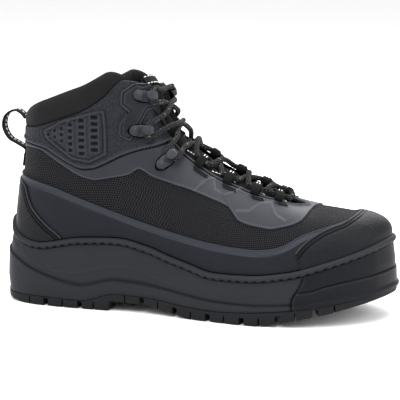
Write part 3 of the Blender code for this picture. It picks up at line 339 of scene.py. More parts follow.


# %% [markdown]
# ## The finishes
# Each row gives two near colours, the span of roughness, gloss and sheen, and then the grain or the
# weave. The colours are far darker than they look in the hand, because gloss adds to them.

# %% The boot's finishes
# In the marks, the darkening ones are painted shade in grooves and hollows, and the rim tints are
# painted highlights on ridges and edges; the rand's strip is a lighter band of its own.
FINISHES = (
    (woven_material, "mesh_fabric",
     Look((0.0026, 0.0027, 0.0034), (0.0038, 0.0039, 0.0048), 0.7, 0.85, 0.08, 0.02),
     520.0, 1.0, 0.0006, (0.0290, 0.0298, 0.0345)),
    (smooth_material, "rand_film",
     Look((0.0076, 0.0083, 0.0110), (0.0096, 0.0104, 0.0136), 0.38, 0.50, 0.07, 0.0),
     1500.0, 0.00008, (("strip", (0.0235, 0.0258, 0.0335)), ("rim", (0.033, 0.036, 0.046)))),
    (smooth_material, "moulded_film",
     Look((0.0046, 0.0048, 0.0060), (0.0062, 0.0065, 0.0078), 0.42, 0.55, 0.08, 0.0),
     700.0, 0.00020, (("painted_shade", PAINTED_SHADE_TINT), ("rim", (0.026, 0.028, 0.033))), 0.25),
    (smooth_material, "guard_plastic",
     Look((0.0076, 0.0084, 0.0110), (0.0108, 0.0118, 0.0152), 0.42, 0.55, 0.09, 0.0),
     520.0, 0.00075, (("painted_shade", PAINTED_SHADE_TINT), ("rim", PAINTED_HIGHLIGHT_TINT)), 0.3),
    (smooth_material, "plate_plastic",
     Look((0.0066, 0.0072, 0.0092), (0.0090, 0.0097, 0.0124), 0.40, 0.52, 0.10, 0.0),
     1300.0, 0.00015, (("painted_shade", PAINTED_SHADE_TINT), ("rim", PAINTED_HIGHLIGHT_TINT))),
    # The eyestay's colours are lighter than the other films: partly its own colour, partly painted
    # light from above, where it faces up.
    (smooth_material, "eyestay_film",
     Look((0.0145, 0.0160, 0.0205), (0.0184, 0.0202, 0.0256), 0.38, 0.50, 0.12, 0.0),
     1800.0, 0.00010, (("painted_shade", PAINTED_SHADE_TINT), ("rim", (0.052, 0.056, 0.068)))),
    (woven_material, "collar_fabric",
     Look((0.0065, 0.0065, 0.0070), (0.0105, 0.0105, 0.0112), 0.85, 0.95, 0.05, 0.04),
     1100.0, 0.0, 0.0001, (0.0060, 0.0060, 0.0065)),
    (woven_material, "tongue_fabric",
     Look((0.0026, 0.0026, 0.0028), (0.0040, 0.0040, 0.0044), 0.85, 0.95, 0.05, 0.03),
     700.0, 1.0, 0.0003, (0.0060, 0.0060, 0.0064)),
    (smooth_material, "midsole_rubber",
     Look((0.0112, 0.0119, 0.0148), (0.0142, 0.0151, 0.0184), 0.50, 0.65, 0.10, 0.0),
     1300.0, 0.00016, (("painted_shade", PAINTED_SHADE_TINT), ("rim", (0.018, 0.018, 0.019)))),
    (smooth_material, "bumper_rubber",
     Look((0.0046, 0.0050, 0.0064), (0.0062, 0.0066, 0.0084), 0.38, 0.52, 0.07, 0.0),
     1300.0, 0.00012, (("painted_shade", PAINTED_SHADE_TINT), ("rim", (0.014, 0.014, 0.015)))),
    (smooth_material, "outsole_rubber",
     Look((0.0070, 0.0072, 0.0082), (0.0100, 0.0102, 0.0116), 0.55, 0.70, 0.09, 0.0),
     1000.0, 0.00020),
    (woven_material, "insole_foam",
     Look((0.0060, 0.0060, 0.0070), (0.0090, 0.0090, 0.0100), 0.8, 0.9, 0.10, 0.05),
     600.0, 0.0, 0.0002, (0.0140, 0.0140, 0.0160)),
    (smooth_material, "hook_metal",
     Look((0.0150, 0.0166, 0.0210), (0.0200, 0.0220, 0.0270), 0.30, 0.42, 0.16, 0.0),
     1600.0, 0.00006, (("painted_shade", PAINTED_SHADE_TINT),)),
    (woven_material, "webbing",
     Look((0.0028, 0.0028, 0.0030), (0.0042, 0.0042, 0.0046), 0.8, 0.9, 0.05, 0.03),
     900.0, 1.0, 0.0003, (0.0090, 0.0090, 0.0095)),
    (woven_material, "lace_cord",
     Look((0.0044, 0.0044, 0.0042), (0.0068, 0.0068, 0.0064), 0.8, 0.9, 0.05, 0.05),
     520.0, 1.0, 0.0006, (0.0320, 0.0324, 0.0315), 1.7),
    (smooth_material, "white_thread",
     Look((0.55, 0.55, 0.53), (0.70, 0.70, 0.68), 0.6, 0.7, 0.30, 0.0),
     2600.0, 0.0001),
    (smooth_material, "dark_thread",
     Look((0.0020, 0.0020, 0.0022), (0.0032, 0.0032, 0.0036), 0.6, 0.7, 0.20, 0.0),
     2600.0, 0.0001))
MATERIALS = {name: make(name, *finish) for make, name, *finish in FINISHES}
print("made", len(MATERIALS), "materials")

# %% [markdown]
# ## Sizes and the loop round the boot
# All pieces hang on one loop. It starts at the back of the heel, runs along the outer side to the
# toe, and comes back on the inner side. Every station has the sole's outline and heights, and a
# curve up the wall of the upper. These are the sizes and tables that the solids were made from.

# %% Sizes
SOLE_LENGTH = 0.325
BALL_WIDTH = 0.116
HEEL_STACK = 0.060
SHAFT_RISE = 0.130
HEEL_SETBACK = 0.047
GAP = 0.0003
UPPER_WALL = 0.0024
FEATHER_INSET = 0.006
RAND_FILM = 0.0008
TOE_CAP_WALL = 0.0014
EYESTAY_FILM = 0.0008
GUARD_WALL = 0.0012
HOOK_PLATE_WALL = 0.0010
TONGUE_THICKNESS = 0.0036
INSOLE_THICKNESS = 0.0040
COLLAR_THICKNESS = 0.0095
COLLAR_SEAT = 0.0005
COLLAR_FULL_HEIGHT = 0.013
WELT_HEIGHT = 0.0064
RIDGE_STEP = 0.0016
BUMPER_DEPTH = 0.0030
BUMPER_PROUD = 0.0007
LACE_DIAMETER = 0.0042
WEBBING_THICKNESS = 0.0011
LOOP_WIDTH = 0.0090
PULL_LOOP_WIDTH = 0.0110
PULL_LOOP_WALL = 0.0015
PULL_LOOP_REACH = 0.0195
PULL_LOOP_HEIGHT = 0.0315
KEEPER_WIDTH = 0.0085
RIVET_DIAMETER = 0.0085
RIVET_HEIGHT = 0.0022
HOOK_LENGTH = 0.0190
HOOK_WIDTH = 0.0084
HOOK_SHEET = 0.0012
HOOK_HEIGHT = 0.0066

# %% Tables of the sole and the upper
def rows_of(kind, *rows):
    """A table: one named row of its kind for each row of values."""
    return tuple(kind(*row) for row in rows)


SoleStation = namedtuple(
    "SoleStation", "name along lateral medial taper floor tread ridge feather")
SOLE = rows_of(
    SoleStation,
    ("heel back", 0.000, 0.000, 0.000, 0.028, 0.050, 0.120, 0.700, 1.130),
    ("heel corner", 0.034, 0.233, 0.224, 0.018, 0.013, 0.112, 0.633, 0.967),
    ("heel side", 0.114, 0.341, 0.323, 0.006, 0.000, 0.117, 0.450, 0.867),
    ("rear quarter", 0.231, 0.371, 0.328, 0.000, 0.000, 0.105, 0.292, 0.975),
    ("waist", 0.323, 0.375, 0.309, 0.000, 0.000, 0.225, 0.400, 1.000),
    ("shank", 0.403, 0.392, 0.309, 0.000, 0.000, 0.217, 0.383, 0.925),
    ("facing", 0.458, 0.418, 0.330, 0.000, 0.000, 0.192, 0.350, 0.833),
    ("low instep", 0.514, 0.448, 0.358, 0.000, 0.000, 0.158, 0.308, 0.750),
    ("instep", 0.591, 0.491, 0.409, 0.000, 0.000, 0.142, 0.267, 0.658),
    ("ball", 0.683, 0.522, 0.461, 0.000, 0.000, 0.167, 0.258, 0.667),
    ("tread break", 0.778, 0.507, 0.487, 0.000, 0.075, 0.217, 0.283, 0.733),
    ("toe side", 0.871, 0.427, 0.466, 0.000, 0.180, 0.290, 0.350, 0.875),
    ("toe corner", 0.935, 0.310, 0.397, 0.004, 0.265, 0.350, 0.400, 0.980),
    ("toe front", 0.978, 0.155, 0.284, 0.008, 0.315, 0.390, 0.435, 1.060),
    ("toe tip", 1.000, -0.069, 0.069, 0.010, 0.333, 0.405, 0.450, 1.100))

# Upper at the same stations. Each section is a curve from the feather edge to the top edge.
# edge_along is a share of the sole's length, lateral and medial of the ball's width; edge_up is
# the height of the top edge over the feather, as a share of the shaft's rise, and the medial
# side is lower by drop. The wall leaves the feather with a handle of rise and swell and meets
# the edge with one of fall and spread.
UpperStation = namedtuple(
    "UpperStation", "name edge_along lateral medial edge_up drop rise swell fall spread collar")
UPPER = rows_of(
    UpperStation,
    ("heel back", 0.054, 0.000, 0.000, 0.575, 0.000, 0.200, -0.020, 0.230, 0.010, 0.095),
    ("heel corner", 0.076, 0.190, 0.190, 0.660, 0.000, 0.215, -0.014, 0.230, 0.009, 0.125),
    ("heel side", 0.126, 0.312, 0.312, 0.730, 0.010, 0.230, -0.010, 0.246, 0.010, 0.155),
    ("rear quarter", 0.218, 0.345, 0.325, 0.762, 0.022, 0.260, -0.008, 0.260, 0.009, 0.158),
    ("ankle", 0.292, 0.332, 0.298, 0.858, 0.038, 0.290, -0.009, 0.310, 0.000, 0.142),
    ("shaft front", 0.343, 0.283, 0.232, 1.005, 0.046, 0.310, 0.000, 0.285, 0.040, 0.024),
    ("facing top", 0.388, 0.165, 0.140, 1.012, 0.034, 0.345, 0.000, 0.170, 0.120, 0.000),
    ("facing", 0.415, 0.130, 0.115, 0.854, 0.016, 0.345, 0.000, 0.075, 0.138, 0.000),
    ("instep notch", 0.461, 0.138, 0.138, 0.715, 0.000, 0.250, 0.009, 0.090, 0.155, 0.000),
    ("ball", 0.548, 0.160, 0.160, 0.558, 0.000, 0.200, 0.010, 0.092, 0.172, 0.000),
    ("throat", 0.634, 0.152, 0.152, 0.434, 0.000, 0.165, 0.010, 0.077, 0.172, 0.000),
    ("low throat", 0.702, 0.125, 0.125, 0.313, 0.000, 0.150, 0.013, 0.060, 0.190, 0.000),
    ("throat end", 0.748, 0.078, 0.078, 0.230, 0.000, 0.140, 0.014, 0.048, 0.241, 0.000),
    ("vamp", 0.769, 0.034, 0.034, 0.185, 0.000, 0.136, 0.015, 0.045, 0.284, 0.000),
    ("toe tip", 0.775, 0.000, 0.000, 0.166, 0.000, 0.135, 0.015, 0.045, 0.302, 0.000))

# %% Side outlines of the overlays and the sole
Corner = namedtuple("Corner", "along up")
BEHIND = -0.10
AHEAD = 1.10
UNDER = -0.46
RAND_TOP = rows_of(
    Corner,
    (BEHIND, 0.365), (0.045, 0.350), (0.114, 0.323), (0.163, 0.292), (0.222, 0.238),
    (0.323, 0.154), (0.425, 0.085), (0.551, 0.023), (0.646, 0.000), (0.698, -0.008),
    (0.745, 0.010), (0.772, 0.042), (0.800, 0.088), (0.850, 0.123), (0.905, 0.158), (0.945, 0.240),
    (AHEAD, 0.240))
TOE_CAP_EDGE = rows_of(
    Corner,
    (0.757, UNDER), (0.764, -0.150), (0.778, -0.062), (0.797, 0.015), (0.820, 0.069),
    (0.852, 0.115), (0.900, 0.146), (0.935, 0.240), (AHEAD, 0.240))
COUNTER_EDGE = rows_of(
    Corner,
    (BEHIND, 0.308), (0.040, 0.308), (0.080, 0.300), (0.092, 0.177), (0.117, 0.100),
    (0.145, 0.038), (0.169, 0.000), (0.195, -0.060), (0.195, UNDER))
GUARD_LOW_EDGE = rows_of(
    Corner,
    (BEHIND, 0.570), (0.126, 0.558), (0.175, 0.485), (0.225, 0.419), (0.258, 0.415),
    (0.292, 0.446), (0.342, 0.515), (0.391, 0.554), (0.449, 0.585), (0.520, 0.640))
EYESTAY_LOW_EDGE = rows_of(
    Corner,
    (0.225, 0.372), (0.268, 0.345), (0.360, 0.392), (0.385, 0.440), (0.415, 0.392), (0.477, 0.346),
    (0.535, 0.300), (0.594, 0.246), (0.621, 0.215), (0.625, 0.169), (0.665, 0.131), (0.723, 0.108),
    (0.775, 0.135), (0.798, 0.165), (0.804, 0.400))
HOOK_PLATE = rows_of(
    Corner,
    (0.357, 0.946), (0.335, 0.900), (0.335, 0.823), (0.357, 0.769), (0.354, 0.738), (0.335, 0.708),
    (0.335, 0.631), (0.363, 0.600), (0.405, 0.620), (0.520, 0.740), (0.520, 0.946))

# Side outlines on the sole: along is a share of its length, height of the heel's stack
SoleCorner = namedtuple("SoleCorner", "along height")
BUMPER_SEAM = rows_of(
    SoleCorner,
    (0.824, 1.400), (0.818, 0.827), (0.815, 0.649), (0.806, 0.517), (0.791, 0.400), (0.788, 0.333),
    (0.791, 0.233), (0.797, 0.003))
ARCH = rows_of(
    SoleCorner,
    (0.3046, -0.040), (0.3092, 0.125), (0.400, 0.125), (0.440, 0.079), (0.515, 0.000),
    (0.515, -0.040))
SidePoint = namedtuple("SidePoint", "out height taper")
MIDSOLE_SIDE = rows_of(
    SidePoint,
    (-0.50, 0.00, 0.0), (0.25, 0.35, 0.0), (0.50, 1.00, 0.4), (-0.50, 1.05, 0.4),
    (-0.75, 1.62, 0.8), (-1.60, 2.00, 1.0))
# Side of the welt from its foot up, in shares of its height
WELT_SIDE = rows_of(
    SidePoint,
    (-0.38, 0.05, 1.0), (-0.12, 0.23, 1.0), (-0.03, 0.54, 1.0), (-0.16, 0.79, 1.0),
    (-0.44, 0.93, 1.0))

# %% Tables of the collar, the lacing and the tongue
CollarPoint = namedtuple("CollarPoint", "across up")
COLLAR_SHAPE = rows_of(
    CollarPoint,
    (0.00, 0.00), (-0.14, 0.35), (-0.08, 0.70), (0.16, 0.93), (0.48, 1.00), (0.80, 0.90),
    (1.00, 0.62), (1.00, 0.28), (0.80, 0.00))
LOOP_STATIONS = (11.25, 10.35, 9.50, 8.70)
TOP_BAR_STATION = 6.25
CROSSING_BACK = 0.10
Hook = namedtuple("Hook", "name along up turn edge face")
HOOKS = rows_of(
    Hook,
    ("low", 0.450, 0.485, 50, 8.00, "eyestay"), ("middle", 0.387, 0.665, 5, 7.20, "plate"),
    ("top", 0.383, 0.862, 5, 6.45, "plate"))
# Side shape of a webbing loop in shares of its width: across from the throat's edge toward the
# tongue and up from the wall. The lace passes through it at its own point.
WebPoint = namedtuple("WebPoint", "across up")
LOOP_SHAPE = rows_of(
    WebPoint,
    (-0.72, 0.290), (0.00, 0.280), (0.55, 0.10), (0.95, 0.17), (1.00, 0.51), (0.52, 0.77),
    (-0.22, 0.71), (-0.78, 0.49))
LACE_IN_LOOP = WebPoint(0.47, 0.42)
# Side shape of a hook in shares of half its length and of its height, and its rivet's place
HookPoint = namedtuple("HookPoint", "along up")
HOOK_OUTER = rows_of(
    HookPoint,
    (-1.00, 0.00), (0.68, 0.00), (0.94, 0.18), (1.00, 0.50), (0.91, 0.84), (0.66, 1.00),
    (0.06, 0.88))
RIVET_ALONG = -0.52
LACE_LEAVES = 0.20
# Side shape of the pull loop in shares of its reach behind the heel and of its height
PullPoint = namedtuple("PullPoint", "out up")
PULL_SHAPE = rows_of(
    PullPoint,
    (0.38, 0.14), (0.69, 0.24), (0.90, 0.40), (1.00, 0.61), (0.92, 0.83), (0.67, 0.97),
    (0.38, 1.00), (0.15, 0.92))
PULL_TAIL = (0.56, 0.62, 0.68, 0.75)
# Tongue: how far its middle stands out of the throat at each station, in shares of the ball's
# width, and its free top over the throat.
TongueRow = namedtuple("TongueRow", "station crown tuck")
TONGUE = rows_of(
    TongueRow,
    (6.00, 0.030, 0.93), (6.50, 0.045, 0.93), (7.00, 0.050, 0.92), (7.50, 0.052, 0.90),
    (8.00, 0.054, 0.88), (8.50, 0.056, 0.88), (9.00, 0.056, 0.87), (9.50, 0.054, 0.87),
    (10.00, 0.050, 0.87), (10.50, 0.042, 0.87), (11.00, 0.032, 0.87), (11.50, 0.022, 0.87),
    (12.00, 0.012, 0.88), (12.50, 0.004, 0.90))
TONGUE_TOP_RISE = 0.006
TONGUE_TOP_LEAN = 0.004
TONGUE_TOP_NARROW = 0.92
LAST = len(SOLE) - 1
KNOTS = 2 * LAST
HEEL_BACK_X = -HEEL_SETBACK
GUARD_FACE = GAP + GUARD_WALL
PLATE_SEAT = GUARD_FACE + 2 * GAP
PLATE_FACE = PLATE_SEAT + HOOK_PLATE_WALL
EYESTAY_FACE = GAP + EYESTAY_FILM

# %% The loop's functions
def mirrored(table, column):
    """A column's values round the loop: lateral rows forward, then medial rows back."""
    values = [getattr(row, column) for row in table]
    return np.array(values + values[-2:0:-1])


def two_sided(table, lateral, medial):
    """Values across the boot, negative on the lateral side and positive on the medial."""
    outer = [-getattr(row, lateral) for row in table]
    inner = [getattr(row, medial) for row in table]
    return np.array(outer + inner[-2:0:-1])


def ease(knots, u):
    """A smooth closed curve through the knots that never overshoots them."""
    step = np.roll(knots, -1) - knots
    before = np.roll(step, 1)
    total = np.where(step * before > 0, step + before, 1.0)
    slope = np.where(step * before > 0, 2 * step * before / total, 0.0)
    first = np.floor(u).astype(int)
    t = u - first
    i = first % len(knots)
    j = (i + 1) % len(knots)
    return ((2 * t**3 - 3 * t**2 + 1) * knots[i] + (t**3 - 2 * t**2 + t) * slope[i]
            + (3 * t**2 - 2 * t**3) * knots[j] + (t**3 - t**2) * slope[j])


def stack(x, y, z):
    """Points from three arrays of one shape."""
    return np.stack(np.broadcast_arrays(x, y, z), axis=-1)


def plan(u):
    """Sole outline seen from above."""
    x = HEEL_BACK_X + SOLE_LENGTH * ease(mirrored(SOLE, "along"), u)
    y = BALL_WIDTH * ease(two_sided(SOLE, "lateral", "medial"), u)
    return x, y


def outward(u):
    """Unit direction out of the sole outline."""
    step = 0.05
    x_after, y_after = plan(u + step)
    x_before, y_before = plan(u - step)
    dx = x_after - x_before
    dy = y_after - y_before
    size = np.hypot(dx, dy)
    return dy / size, -dx / size


def level(column, u):
    """Height of one of the sole's lines."""
    return HEEL_STACK * ease(mirrored(SOLE, column), u)


def outline(u, offset, z, taper=0.0):
    """Points of the sole outline moved out by offset and in by a share of the taper."""
    x, y = plan(u)
    nx, ny = outward(u)
    reach = offset - taper * BALL_WIDTH * ease(mirrored(SOLE, "taper"), u)
    return stack(x + nx * reach, y + ny * reach, z)


def wall(u, t):
    """Outer face of the upper: u round the loop, t from 0 at the welt to 1 at the top edge."""
    feather = outline(u, -FEATHER_INSET, level("feather", u), 1.0)
    out = stack(*outward(u), 0.0)
    up = np.array([0.0, 0.0, 1.0])

    def share(column):
        return ease(mirrored(UPPER, column), u)[..., None]

    across = ease(two_sided(UPPER, "lateral", "medial"), u)
    top_x = HEEL_BACK_X + SOLE_LENGTH * share("edge_along")[..., 0]
    drop = np.where(np.mod(u, KNOTS) > LAST, share("drop")[..., 0], 0.0)
    top_z = level("feather", u) + SHAFT_RISE * (share("edge_up")[..., 0] - drop)
    edge = stack(top_x, BALL_WIDTH * across, top_z)
    low = feather + out * BALL_WIDTH * share("swell") + up * SHAFT_RISE * share("rise")
    high = edge + out * BALL_WIDTH * share("spread") - up * SHAFT_RISE * share("fall")
    t = np.asarray(t)[..., None]
    return ((1 - t)**3 * feather + 3 * t * (1 - t)**2 * low
            + 3 * t**2 * (1 - t) * high + t**3 * edge)


def unit(vectors):
    """Vectors scaled to length 1."""
    return vectors / np.linalg.norm(vectors, axis=-1, keepdims=True)


def wall_normal(u, t):
    """Unit direction out of the upper's outer face."""
    step = 0.02
    inner = np.minimum(t, 1 - step)
    around = wall(u + step, t) - wall(u - step, t)
    rise = wall(u, inner + step) - wall(u, inner - step * (inner > step))
    return unit(np.cross(around, rise))


def on_wall(u, t, lift):
    """Point over the upper's outer face by lift."""
    u = np.asarray(u, dtype=float)
    t = np.asarray(t, dtype=float)
    return wall(u, t) + wall_normal(u, t) * np.asarray(lift)[..., None]


def side_point(corner):
    """X and Z of an outline corner on the upper or on the sole."""
    x = HEEL_BACK_X + SOLE_LENGTH * corner.along
    if isinstance(corner, SoleCorner):
        return x, HEEL_STACK * corner.height
    return x, HEEL_STACK + SHAFT_RISE * corner.up


def spot(along, up):
    """Loop position of the lateral wall's point that shows at these shares in the side view."""
    u, t = np.meshgrid(np.linspace(0.5, LAST - 0.5, 160), np.linspace(0, 1, 120), indexing="ij")
    points = wall(u, t)
    x, z = side_point(Corner(along, up))
    nearest = np.argmin((points[..., 0] - x)**2 + (points[..., 2] - z)**2)
    return u.flat[nearest], t.flat[nearest]
print("toe tip at", np.round(wall(np.array([14.0]), np.array([0.0])), 4))

# %% [markdown]
# ## From grids to pieces
# Each piece is one grid of points, or a few. A grid's columns run along the piece and the points
# of a column close on themselves, so a sheet has its outer face, its rim and its inner face in one
# loop, and a cord has its round section. Nothing is open, so light never leaks through.

# %% Grids, UV maps and objects
def surface(grid, uv, wrap):
    """Quads of a grid of columns x loop points: side i,j joins columns i and i+1 and points j
    and j+1. With wrap the last column meets the first; without it strips close both ends. The
    faces are turned to point out, by the sign of the enclosed volume. uv has an extra column
    and an extra point, so that it needn't jump back where the grid closes."""
    n, k = grid.shape[:2]
    i, j = np.meshgrid(np.arange(n if wrap else n - 1), np.arange(k), indexing="ij")
    i2, j2 = (i + 1) % n, (j + 1) % k
    faces = np.stack([i * k + j, i2 * k + j, i2 * k + j2, i * k + j2], -1).reshape(-1, 4)
    flat = np.stack([uv[i, j], uv[i + 1, j], uv[i + 1, j + 1], uv[i, j + 1]], axis=-2)
    flat = flat.reshape(-1, 4, 2)
    if not wrap:
        h = np.arange(k // 2 - 1)
        cap = np.stack([h, h + 1, k - 2 - h, k - 1 - h], -1)
        faces = np.concatenate([faces, cap, cap[:, ::-1] + (n - 1) * k])
        flat = np.concatenate([flat, uv[0][cap], uv[n - 1][cap[:, ::-1]]])
    points = grid.reshape(-1, 3)
    a, b, c, d = (points[faces[:, side]] for side in range(4))
    volume = (a * (np.cross(b, c) + np.cross(c, d))).sum()
    if volume < 0:
        faces, flat = faces[:, ::-1], flat[:, ::-1]
    return points, faces, flat


def add_piece(name, slot, parts, nodes=(), marks=None, angle=45, material=None):
    """One object from several surfaces, with its UV map and its marks, riding on the boot."""
    points = np.concatenate([part[0] for part in parts])
    starts = np.cumsum([0] + [len(part[0]) for part in parts[:-1]])
    faces = np.concatenate([part[1] + start for part, start in zip(parts, starts)])
    flat = np.concatenate([part[2] for part in parts])
    mesh = bpy.data.meshes.new(name)
    mesh.from_pydata(points.tolist(), [], faces.tolist())
    mesh.uv_layers.new(name="cloth").uv.foreach_set("vector", flat.ravel().astype(np.float32))
    for key, values in (marks or {}).items():
        layer = mesh.attributes.new(key, "FLOAT", "POINT")
        layer.data.foreach_set("value", np.asarray(values, dtype=np.float32).ravel())
    mesh.materials.append(MATERIALS[material or slot])
    mesh.shade_smooth()
    mesh.set_sharp_from_angle(angle=math.radians(angle))
    piece = bpy.data.objects.new(name, mesh)
    bpy.context.scene.collection.objects.link(piece)
    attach(piece, "root")
    if nodes:
        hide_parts(*nodes)
    print(name, 2 * len(faces), "triangles")
    return piece


def shell(outer, inner, wrap):
    """A sheet with a thickness: each column goes up the outer face and down the inner one. UV is
    the length along the middle row and the length up each column, in metres."""
    closed = np.concatenate([outer, outer[:1]])
    middle = closed[:, closed.shape[1] // 2]
    along = np.concatenate([[0.0], np.cumsum(np.linalg.norm(np.diff(middle, axis=0), axis=-1))])
    steps = np.linalg.norm(np.diff(closed, axis=1), axis=-1)
    rise = np.concatenate([np.zeros((len(closed), 1)), np.cumsum(steps, axis=1)], axis=1)
    flat = stack(along[:, None], rise, 0.0)[..., :2]
    uv = np.concatenate([flat, flat[:, ::-1], flat[:, :1]], axis=1)
    return surface(np.concatenate([outer, inner[:, ::-1]], axis=1), uv, wrap)


def both_faces(mark):
    """A mark of the outer face with nothing on the inner one."""
    return np.concatenate([mark, 0 * mark], axis=1)


def bell(distance, centre, width):
    """One at the centre, falling off smoothly on both sides."""
    return np.exp(-((distance - centre) / width)**2)


def step_up(value, start, end):
    """Zero up to start, one from end, and a smooth S between."""
    share = np.clip((value - start) / (end - start), 0.0, 1.0)
    return share * share * (3 - 2 * share)


def rounded_edge(distance, radius):
    """A quarter circle: from a third at the edge itself to one at the radius."""
    share = 1 - np.clip(distance / radius, 0.0, 1.0)
    return 0.3 + 0.7 * np.sqrt(1 - share**2)


# %% [markdown]
# ## Outlines drawn in the side view
# The overlays were cut from layers by outlines drawn from the side. Here each outline is rounded by
# cutting its corners, and every column of the wall is searched for the place where it meets it.

# %% Side lines
def rounded(corners, times=3, reach=1.0):
    """Corner cutting: each side keeps its middle half, over and over. No cut goes further than
    the reach from a corner."""
    line = np.array([side_point(corner) for corner in corners])
    for _ in range(times):
        near, far = line[:-1], line[1:]
        share = np.minimum(0.25, reach / np.linalg.norm(far - near, axis=1))[:, None]
        run = (far - near) * share
        middle = np.stack([near + run, far - run], axis=1).reshape(-1, 2)
        line = np.concatenate([line[:1], middle, line[-1:]])
    return line


def crossing(u, line, left, right, last):
    """How far up each column the wall meets a side line: the first place where it rises over
    it, or the last. left and right are the line's heights behind and ahead of it."""
    t = np.linspace(0, 1, 301)
    points = wall(u[:, None], t[None, :])
    heights = np.interp(points[..., 0], line[:, 0], line[:, 1], left=left, right=right)
    over = np.clip(points[..., 2] - heights, -1, 1)
    columns = np.arange(len(u))
    if last:
        after = len(t) - np.argmax(over[:, ::-1] < 0, axis=1)
        after = np.where((over < 0).any(axis=1), after, 0)
    else:
        after = np.where((over > 0).any(axis=1), np.argmax(over > 0, axis=1), len(t))
    i = np.clip(after, 1, len(t) - 1)
    low, high = over[columns, i - 1], over[columns, i]
    share = np.where(high > low, -low / np.where(high > low, high - low, 1.0), 1.0)
    inside = t[i - 1] + (t[i] - t[i - 1]) * np.clip(share, 0, 1)
    return np.where(after < 1, 0.0, np.where(after > len(t) - 1, 1.0, inside))


NEAR_EDGE = np.array([0, 0.2, 0.45, 0.8, 1.2, 1.7, 2.3, 3.0, 3.8, 4.6, 5.4, 6.4]) * MM


def rows_between(u, low, high, count, both):
    """Rows from a lower to an upper edge of the wall, close together near the upper edge, and
    near the lower one too if both. Returns how far up the wall each point is."""
    length = np.linalg.norm(wall(u, high) - wall(u, (low + high) / 2), axis=-1)
    length += np.linalg.norm(wall(u, low) - wall(u, (low + high) / 2), axis=-1)
    near = NEAR_EDGE / NEAR_EDGE[-1] * np.minimum(NEAR_EDGE[-1] / np.maximum(length, MM),
                                                  0.45)[:, None]
    bottom = near if both else near[:, :1]
    first, last = bottom[:, -1:], 1 - near[:, -1:]
    middle = first + (last - first) * np.linspace(0, 1, count + 2)[1:-1]
    share = np.concatenate([bottom, middle, 1 - near[:, ::-1]], axis=1)
    return low[:, None] + (high - low)[:, None] * share


def from_edge(points, edge, wrap, reach=14):
    """Distance from each point to the nearby pieces of an edge with one point a column."""
    index = np.arange(len(edge))
    best = np.full(points.shape[:2], np.inf)
    for shift in range(-reach, reach):
        pair = [index + shift, index + shift + 1]
        near, far = (edge[np.mod(i, len(edge)) if wrap else np.clip(i, 0, len(edge) - 1)]
                     for i in pair)
        run = (far - near)[:, None]
        to_point = points - near[:, None]
        share = np.clip((to_point * run).sum(-1) / np.maximum((run**2).sum(-1), 1e-12), 0, 1)
        best = np.minimum(best, np.linalg.norm(to_point - share[..., None] * run, axis=-1))
    return best


def from_line(points, line):
    """Distance in the side view from each point to a line of X and Z, in millimetres."""
    flat = points[..., [0, 2]] / MM
    best = np.full(points.shape[:-1], np.inf)
    for near, far in zip(np.array(line[:-1], dtype=float), np.array(line[1:], dtype=float)):
        run = far - near
        share = np.clip(((flat - near) @ run) / (run @ run), 0, 1)
        best = np.minimum(best, np.linalg.norm(flat - near - share[..., None] * run, axis=-1))
    return best * MM


# %% [markdown]
# ## The fabric upper and the films on it
# The upper is one wall of black mesh. A smooth film goes round its foot, with a lighter strip
# between two fine ridges along its top edge. Moulded shells cover the toe and the heel, each with
# two sunken lines beside its edge.

# %% Upper
ROUND = np.linspace(0, KNOTS, 561)[:-1]
columns = ROUND[:, None]
rows = np.linspace(0, 1, 50)[None, :]
foot = outline(ROUND, -FEATHER_INSET, level("feather", ROUND) - WELT_HEIGHT + GAP, 1.0)
inner_foot = outline(ROUND, -FEATHER_INSET - UPPER_WALL, foot[:, 2], 1.0)
outer = np.concatenate([foot[:, None], on_wall(columns, rows, 0.0 * rows * columns)], axis=1)
inner = np.concatenate([inner_foot[:, None],
                        on_wall(columns, rows, -UPPER_WALL + 0 * rows * columns)], axis=1)
upper = add_piece("upper_mesh", "mesh_fabric", [shell(outer, inner, True)], ["upper"])

# %% [markdown]
# ## Rand
# The rand is a film welded round the foot against wear. It could be a copy of the wall pushed out.
# A grid of its own has its rows close together at the edge, where the two fine ridges are.

# %% Rand
rand_line = rounded(RAND_TOP)
rand_top = crossing(ROUND, rand_line, rand_line[0, 1], rand_line[-1, 1], False)
rows = rows_between(ROUND, 0 * ROUND, rand_top, 14, False)
on_face = wall(columns, rows)
edge = wall(ROUND, rand_top)
d = from_edge(on_face, edge, True)
relief = 0.5 * MM * (bell(d, 0.9 * MM, 0.6 * MM) + bell(d, 5.2 * MM, 0.6 * MM))
lift = GAP + RAND_FILM * rounded_edge(d, 0.7 * MM) + relief
strip = step_up(d, 1.2 * MM, 1.8 * MM) * (1 - step_up(d, 4.2 * MM, 4.8 * MM))
rand = shell(on_wall(columns, rows, lift), on_wall(columns, rows, 0.5 * GAP + 0 * lift), True)
# Painted highlights on the two fine ridges; the strip between them is a lighter band of its own.
rim = 0.7 * (bell(d, 0.9 * MM, 0.5 * MM) + bell(d, 5.2 * MM, 0.5 * MM))
add_piece("rand_film", "rand_film", [rand], ["rand"],
          {"strip": both_faces(strip), "rim": both_faces(rim)})


# %% [markdown]
# ## Toe cap and heel counter
# Both are stiff shells that keep their form. One function makes them, since they differ only in
# their outline. The sunken lines follow the edge, so they come from the distance to it.

